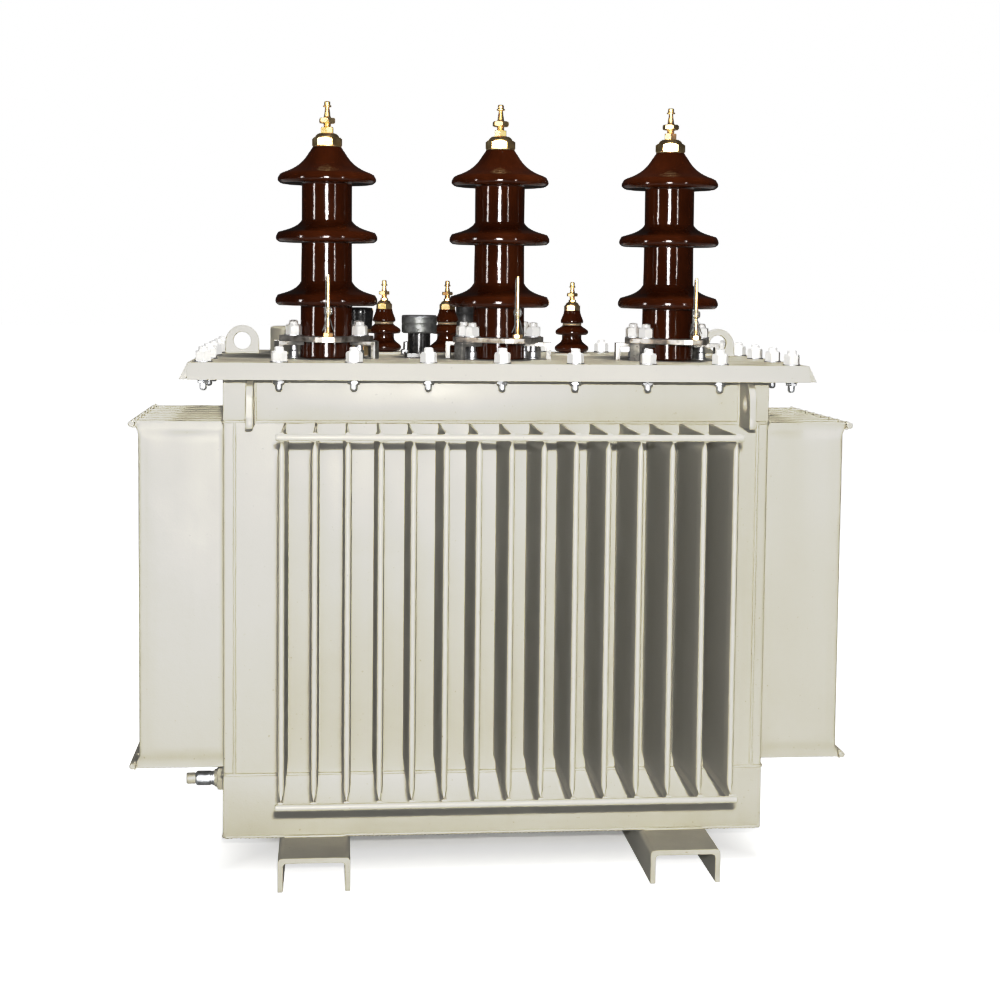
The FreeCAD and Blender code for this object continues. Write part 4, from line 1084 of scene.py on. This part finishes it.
lvTop = bmesh.new()
lvRings = bmesh.new()
lvStuds = bmesh.new()
for number, spot in enumerate(lvSpots, start=1):
    body = bmesh.new()
    turned(body, lvProfileLow(), spot, 64)
    addPiece("lv_bushing_%d" % number, body, glaze, ["lv_porcelain_%d" % number], 50)
    turned(lvTop, lvProfileTop(), spot, 64)
    turned(lvRings, roundedRun([(0, 804.8, 0), (15.2, 804.9, 1), (15.6, 806.8, 1), (15.2, 808.6, 1),
        (0, 808.7, 0)]), spot, 48)
    lvTerminalShape(lvStuds, spot)
addPiece("lv_top_cones", lvTop, glaze, ["lv_top_porcelains"], 50)
addPiece("lv_seal_rings", lvRings, ringPlastic, ["lv_gasket_rings"], 50)
addPiece("lv_studs", lvStuds, brass, ["lv_terminals"], 38)
print("low-voltage bushings made")


# Fittings of the cover.
fittings = {"filler": (-112, -30), "pot": (-306, 122), "valve": (-202, 50), "switch": (-27, 152),
    "earth": (-128, 66)}
fillerX, fillerY = fittings["filler"]
filler = bmesh.new()
turned(filler, roundedRun([(0, 764, 0), (17.5, 764, 0), (17.5, 794, 0.5), (0, 794.2, 0)]), fittings["filler"],
    48)
extruded(filler, roundedRun([(0, -23, 0), (23, -23, 4), (23, 23, 4), (-23, 23, 4), (-23, -23, 4),
    (0, -23, 0)])[:-1],
         lambda x, y, z: (x + fillerX, y + fillerY, z), 756, 764, 0.9)
addPiece("filler_neck", filler, gloss, ["filler_pipe"])
lathe("filler_cap", [(0, 794, 0), (25.4, 794, 1.5), (27.4, 796, 1), (27.6, 806, 0), (26.9, 808, 0.5),
    (27.6, 810, 0.5), (27.6, 818.6, 1.6), (25.6, 821.9, 1.2), (21.6, 822, 0.8), (20, 819.6, 0.8),
    (19.4, 812, 0), (0, 811.6, 0)], fittings["filler"], 72, castGrey, ["filler_coupling"], 34)
fillerRim = bmesh.new()
turned(fillerRim, [(20.2, 819.8), (21.4, 821.8), (22, 822), (25.8, 822), (27.2, 820.6), (27.7, 819),
    (27.2, 818.8), (22, 818.8), (20.2, 819.8)], fittings["filler"], 72)
bmesh.ops.remove_doubles(fillerRim, verts=fillerRim.verts, dist=1e-6)
addPiece("filler_rim", fillerRim, zinc, (), 34)
lathe("cover_pot", [(0, 756, 0), (42, 756, 0), (42, 797, 4), (38, 799.4, 1.5), (12, 800, 0), (0, 800, 0)],
    fittings["pot"], 72, paint, ["instrument_pot"])
lathe("valve_stem", [(0, 756, 0), (13, 756, 0.8), (13, 792.6, 0.5), (17, 793, 0.8), (17, 797.6, 0.8),
    (0, 798, 0)], fittings["valve"], 44, brass, ["relief_valve_stem"])
lathe("valve_cap", [(0, 798, 0), (17.4, 798, 1), (18, 800, 0.8), (20.4, 826, 3), (19.4, 831.4, 3),
    (12, 832, 1), (0, 831.6, 0)], fittings["valve"], 56, gloss, ["relief_valve_cap"], steps=5)
lathe("tap_switch_head", [(0, 756, 0), (15, 756, 0.5), (15, 761, 0.8), (11, 762, 0.5), (11, 801.6, 0.5),
    (15.2, 802, 1), (16, 804, 0.6), (16, 822, 0.8), (14.6, 824, 0.6), (14.6, 834, 1.5), (12, 836, 1),
    (0, 836, 0)], fittings["switch"], 48, darkGrey, ["tap_switch"])
earth = bmesh.new()
turned(earth, roundedRun([(0, 756, 0), (9, 756, 0.5), (9, 757.6, 0.4), (5, 758, 0), (5, 764, 0),
    (4.6, 776.8, 0.8), (0, 778, 0)]), fittings["earth"], 28)
hexNut(earth, fittings["earth"], 15.4, 757.6, 765, 0.3, 1.2)
addPiece("earth_terminal", earth, zinc, ["earth_stud"])

# Drain valve on the left wall.
drain = {"y": -110, "z": 116.5, "wall": -405}
toLeft = Matrix.Translation(Vector((drain["wall"], drain["y"], drain["z"])) * mm) @ Matrix.Rotation(-quarter,
    4, "Y")
valve = bmesh.new()
hexNut(valve, (0, 0), 34, 0.2, 13, 0.12, 2.4)
turned(valve, roundedRun([(0, 12, 0), (15.4, 12.6, 0.5), (13.4, 15.4, 1.2), (12.6, 18, 0.8), (0, 18.2, 0)]),
    (0, 0), 40)
moved(valve, 0, toLeft)
addPiece("drain_body", valve, paint, ["drain_valve_body"])
spout = bmesh.new()
turned(spout, roundedRun([(0, 17.6, 0), (11, 17.6, 0.4), (11, 20, 0.4), (10.2, 20.8, 0), (10.2, 23, 0),
    (11, 24, 0.4), (11, 43, 0.8), (10, 45, 0.6),
                          (8.2, 46, 0.5), (0, 46.2, 0)]),
       (0, 0), 40)
moved(spout, 0, toLeft)
tip = bmesh.new()
turned(tip, roundedRun([(0, 44, 0), (7.4, 44, 0), (7.4, 46.4, 0.3), (8.6, 47, 0.4), (8.6, 58, 1.2),
    (7.6, 59.9, 0.6), (5, 60, 0.5), (4.6, 56, 0),
                        (0, 55.6, 0)]), (0, 0), 40)
moved(tip, 0, toLeft)
addPiece("drain_tip", tip, paint)
addPiece("drain_spout", spout, zinc, ["drain_valve_spout"])
weld("drain_weld", [[(-405.4, drain["y"] + 20.5 * math.cos(a * math.pi / 12),
    drain["z"] + 20.5 * math.sin(a * math.pi / 12)) for a in range(25)]],
     paint, 2.0, 2.2, 0.15, 0.4, 8, 5)
print("fittings made")


# Floor, light and camera.
lights = {
    "worldSeen": 1.0,
    "worldLight": 0.03,
    "floorGlowAndPaintedShadow": (0.34, 1.05),  # low glow as a painted shadow under the tank, and full glow out in the open
    "flash": 56,
    "glossPanel": 26,  # brightness of the panels that only show as reflections
    "top": 52,
    "rear": 46,
}


def floorFinish():
    # Reads as a white sweep with a painted soft shadow under the tank, and lights the tank's underside only
    # by what it reflects.
    finish, tree, shader = newFinish("floor_white")
    tree.links.new(ramp(tree, noise(tree, 2, 3), [(0.3, (0.58, 0.58, 0.57)), (0.7, (0.62, 0.62, 0.61))]),
        shader.inputs["Base Color"])
    shader.inputs["Roughness"].default_value = 0.9
    shader.inputs["Specular IOR Level"].default_value = 0.1
    glow = tree.nodes.new("ShaderNodeEmission")
    apart = tree.nodes.new("ShaderNodeSeparateXYZ")
    tree.links.new(objectSpace(tree), apart.inputs[0])
    # Painted shadow: the glow is low over the tank's footprint and rises smoothly to full beyond it.
    clear = []
    for axis, near, far in (("X", 0.31, 0.50), ("Y", 0.06, 0.30)):
        size = mathNode(tree, "ABSOLUTE")
        step = place(tree, "ShaderNodeMapRange", From_Min=near, From_Max=far)
        step.interpolation_type = "SMOOTHSTEP"
        wire(tree, (apart, axis, size, 0), (size, 0, step, "Value"))
        clear.append(step.outputs["Result"])
    paintedShadowGlow, outside = lights["floorGlowAndPaintedShadow"]
    glowWithPaintedShadow = place(tree, "ShaderNodeMapRange", To_Min=paintedShadowGlow, To_Max=outside)
    tree.links.new(combine(tree, "MAXIMUM", *clear), glowWithPaintedShadow.inputs["Value"])
    seenGlow = tree.nodes.new("ShaderNodeAddShader")
    path = tree.nodes.new("ShaderNodeLightPath")
    either = tree.nodes.new("ShaderNodeMixShader")
    wire(tree, (glowWithPaintedShadow, "Result", glow, "Strength"), (shader, 0, seenGlow, 0), (glow, 0, seenGlow, 1),
         (path, "Is Camera Ray", either, "Fac"), (shader, 0, either, 1), (seenGlow, 0, either, 2),
         (either, 0, tree.nodes["Material Output"], "Surface"))
    return finish


floorMesh = bpy.data.meshes.new("floor")
floorMesh.from_pydata([(-30, -30, 0), (30, -30, 0), (30, 30, 0), (-30, 30, 0)], [], [(0, 1, 2, 3)])
floorMesh.materials.append(floorFinish())
floor = bpy.data.objects.new("floor", floorMesh)
scene.collection.objects.link(floor)

world = bpy.data.worlds.new("studio")
scene.world = world
world.use_nodes = True
worldTree = world.node_tree
seen = worldTree.nodes["Background"]
seen.inputs["Color"].default_value = (1, 1, 1, 1)
seen.inputs["Strength"].default_value = lights["worldSeen"]
dim = worldTree.nodes.new("ShaderNodeBackground")
dim.inputs["Color"].default_value = (1.0, 0.985, 0.96, 1)
dim.inputs["Strength"].default_value = lights["worldLight"]
path = worldTree.nodes.new("ShaderNodeLightPath")
either = worldTree.nodes.new("ShaderNodeMixShader")
wire(worldTree, (path, "Is Camera Ray", either, "Fac"), (dim, 0, either, 1), (seen, 0, either, 2),
     (either, 0, worldTree.nodes["World Output"], "Surface"))
scene.view_settings.view_transform = "Standard"
scene.view_settings.use_curve_mapping = True
contrast = scene.view_settings.curve_mapping
for level, shown in ((0.10, 0.062), (0.30, 0.20), (0.58, 0.63), (0.75, 0.75)):
    contrast.curves[3].points.new(level, shown)
contrast.update()


def areaLight(name, spot, aim, width, height, power, tint=(1, 1, 1)):
    lamp = bpy.data.lights.new(name, "AREA")
    lamp.shape = "RECTANGLE"
    lamp.size = width
    lamp.size_y = height
    lamp.energy = power
    lamp.color = tint
    holder = bpy.data.objects.new(name, lamp)
    holder.location = spot
    holder.rotation_euler = (Vector(aim) - Vector(spot)).to_track_quat("-Z", "Y").to_euler()
    scene.collection.objects.link(holder)
    return holder


def glossPanel(name, spot, aim, width, height, share):
    panel = areaLight(name, spot, aim, width, height, lights["glossPanel"] * share * math.pi * width * height)
    panel.visible_diffuse = False


areaLight("flash", (-0.22, -2.83, 1.053), (0, 0, 0.6), 0.10, 0.05, lights["flash"], (1, 0.985, 0.955))
overhead = areaLight("top", (0.35, -0.45, 3.2), (0.05, -0.1, 0.6), 0.6, 0.6, lights["top"])
overhead.visible_glossy = False
for name, spot, share in (("rear_right", (2.0, 2.6, 1.5), 1), ("rear_left", (-2.3, 2.3, 1.3), 0.8)):
    behind = areaLight(name, spot, (0, 0.1, 0.5), 0.8, 0.8, lights["rear"] * share)
    behind.visible_glossy = False
glossPanel("panel_middle", (-0.28, -2.95, 0.95), (-0.1, 0, 0.95), 0.60, 1.9, 1.3)
glossPanel("panel_left", (-2.4, -1.3, 1.0), (0, 0, 0.9), 0.3, 1.6, 0.8)
glossPanel("panel_right", (1.5, -2.4, 1.0), (0, 0, 0.9), 0.16, 1.6, 0.9)
glossPanel("panel_fin", (-0.67, -2.4, 0.40), (-0.47, -0.16, 0.63), 0.22, 0.055, 5)

view = {"place": (-0.2476, -2.7024, 0.8718), "yaw": 0.0983, "pitch": 0.0677, "roll": -0.0107, "lens": 61.6,
    "shiftY": -0.10}
yaw, pitch, roll = view["yaw"], view["pitch"], view["roll"]
forward = Vector((math.sin(yaw) * math.cos(pitch), math.cos(yaw) * math.cos(pitch), -math.sin(pitch)))
level = Vector((math.cos(yaw), -math.sin(yaw), 0))
down = forward.cross(level)
right = level * math.cos(roll) + down * math.sin(roll)
below = down * math.cos(roll) - level * math.sin(roll)
lens = bpy.data.cameras.new("camera")
lens.lens = view["lens"]
lens.sensor_width = 36
lens.shift_y = view["shiftY"]
camera = bpy.data.objects.new("camera", lens)
scene.collection.objects.link(camera)
turn = Matrix((right, -below, -forward)).transposed().to_4x4()
camera.matrix_world = Matrix.Translation(view["place"]) @ turn
scene.camera = camera
print("stage made")
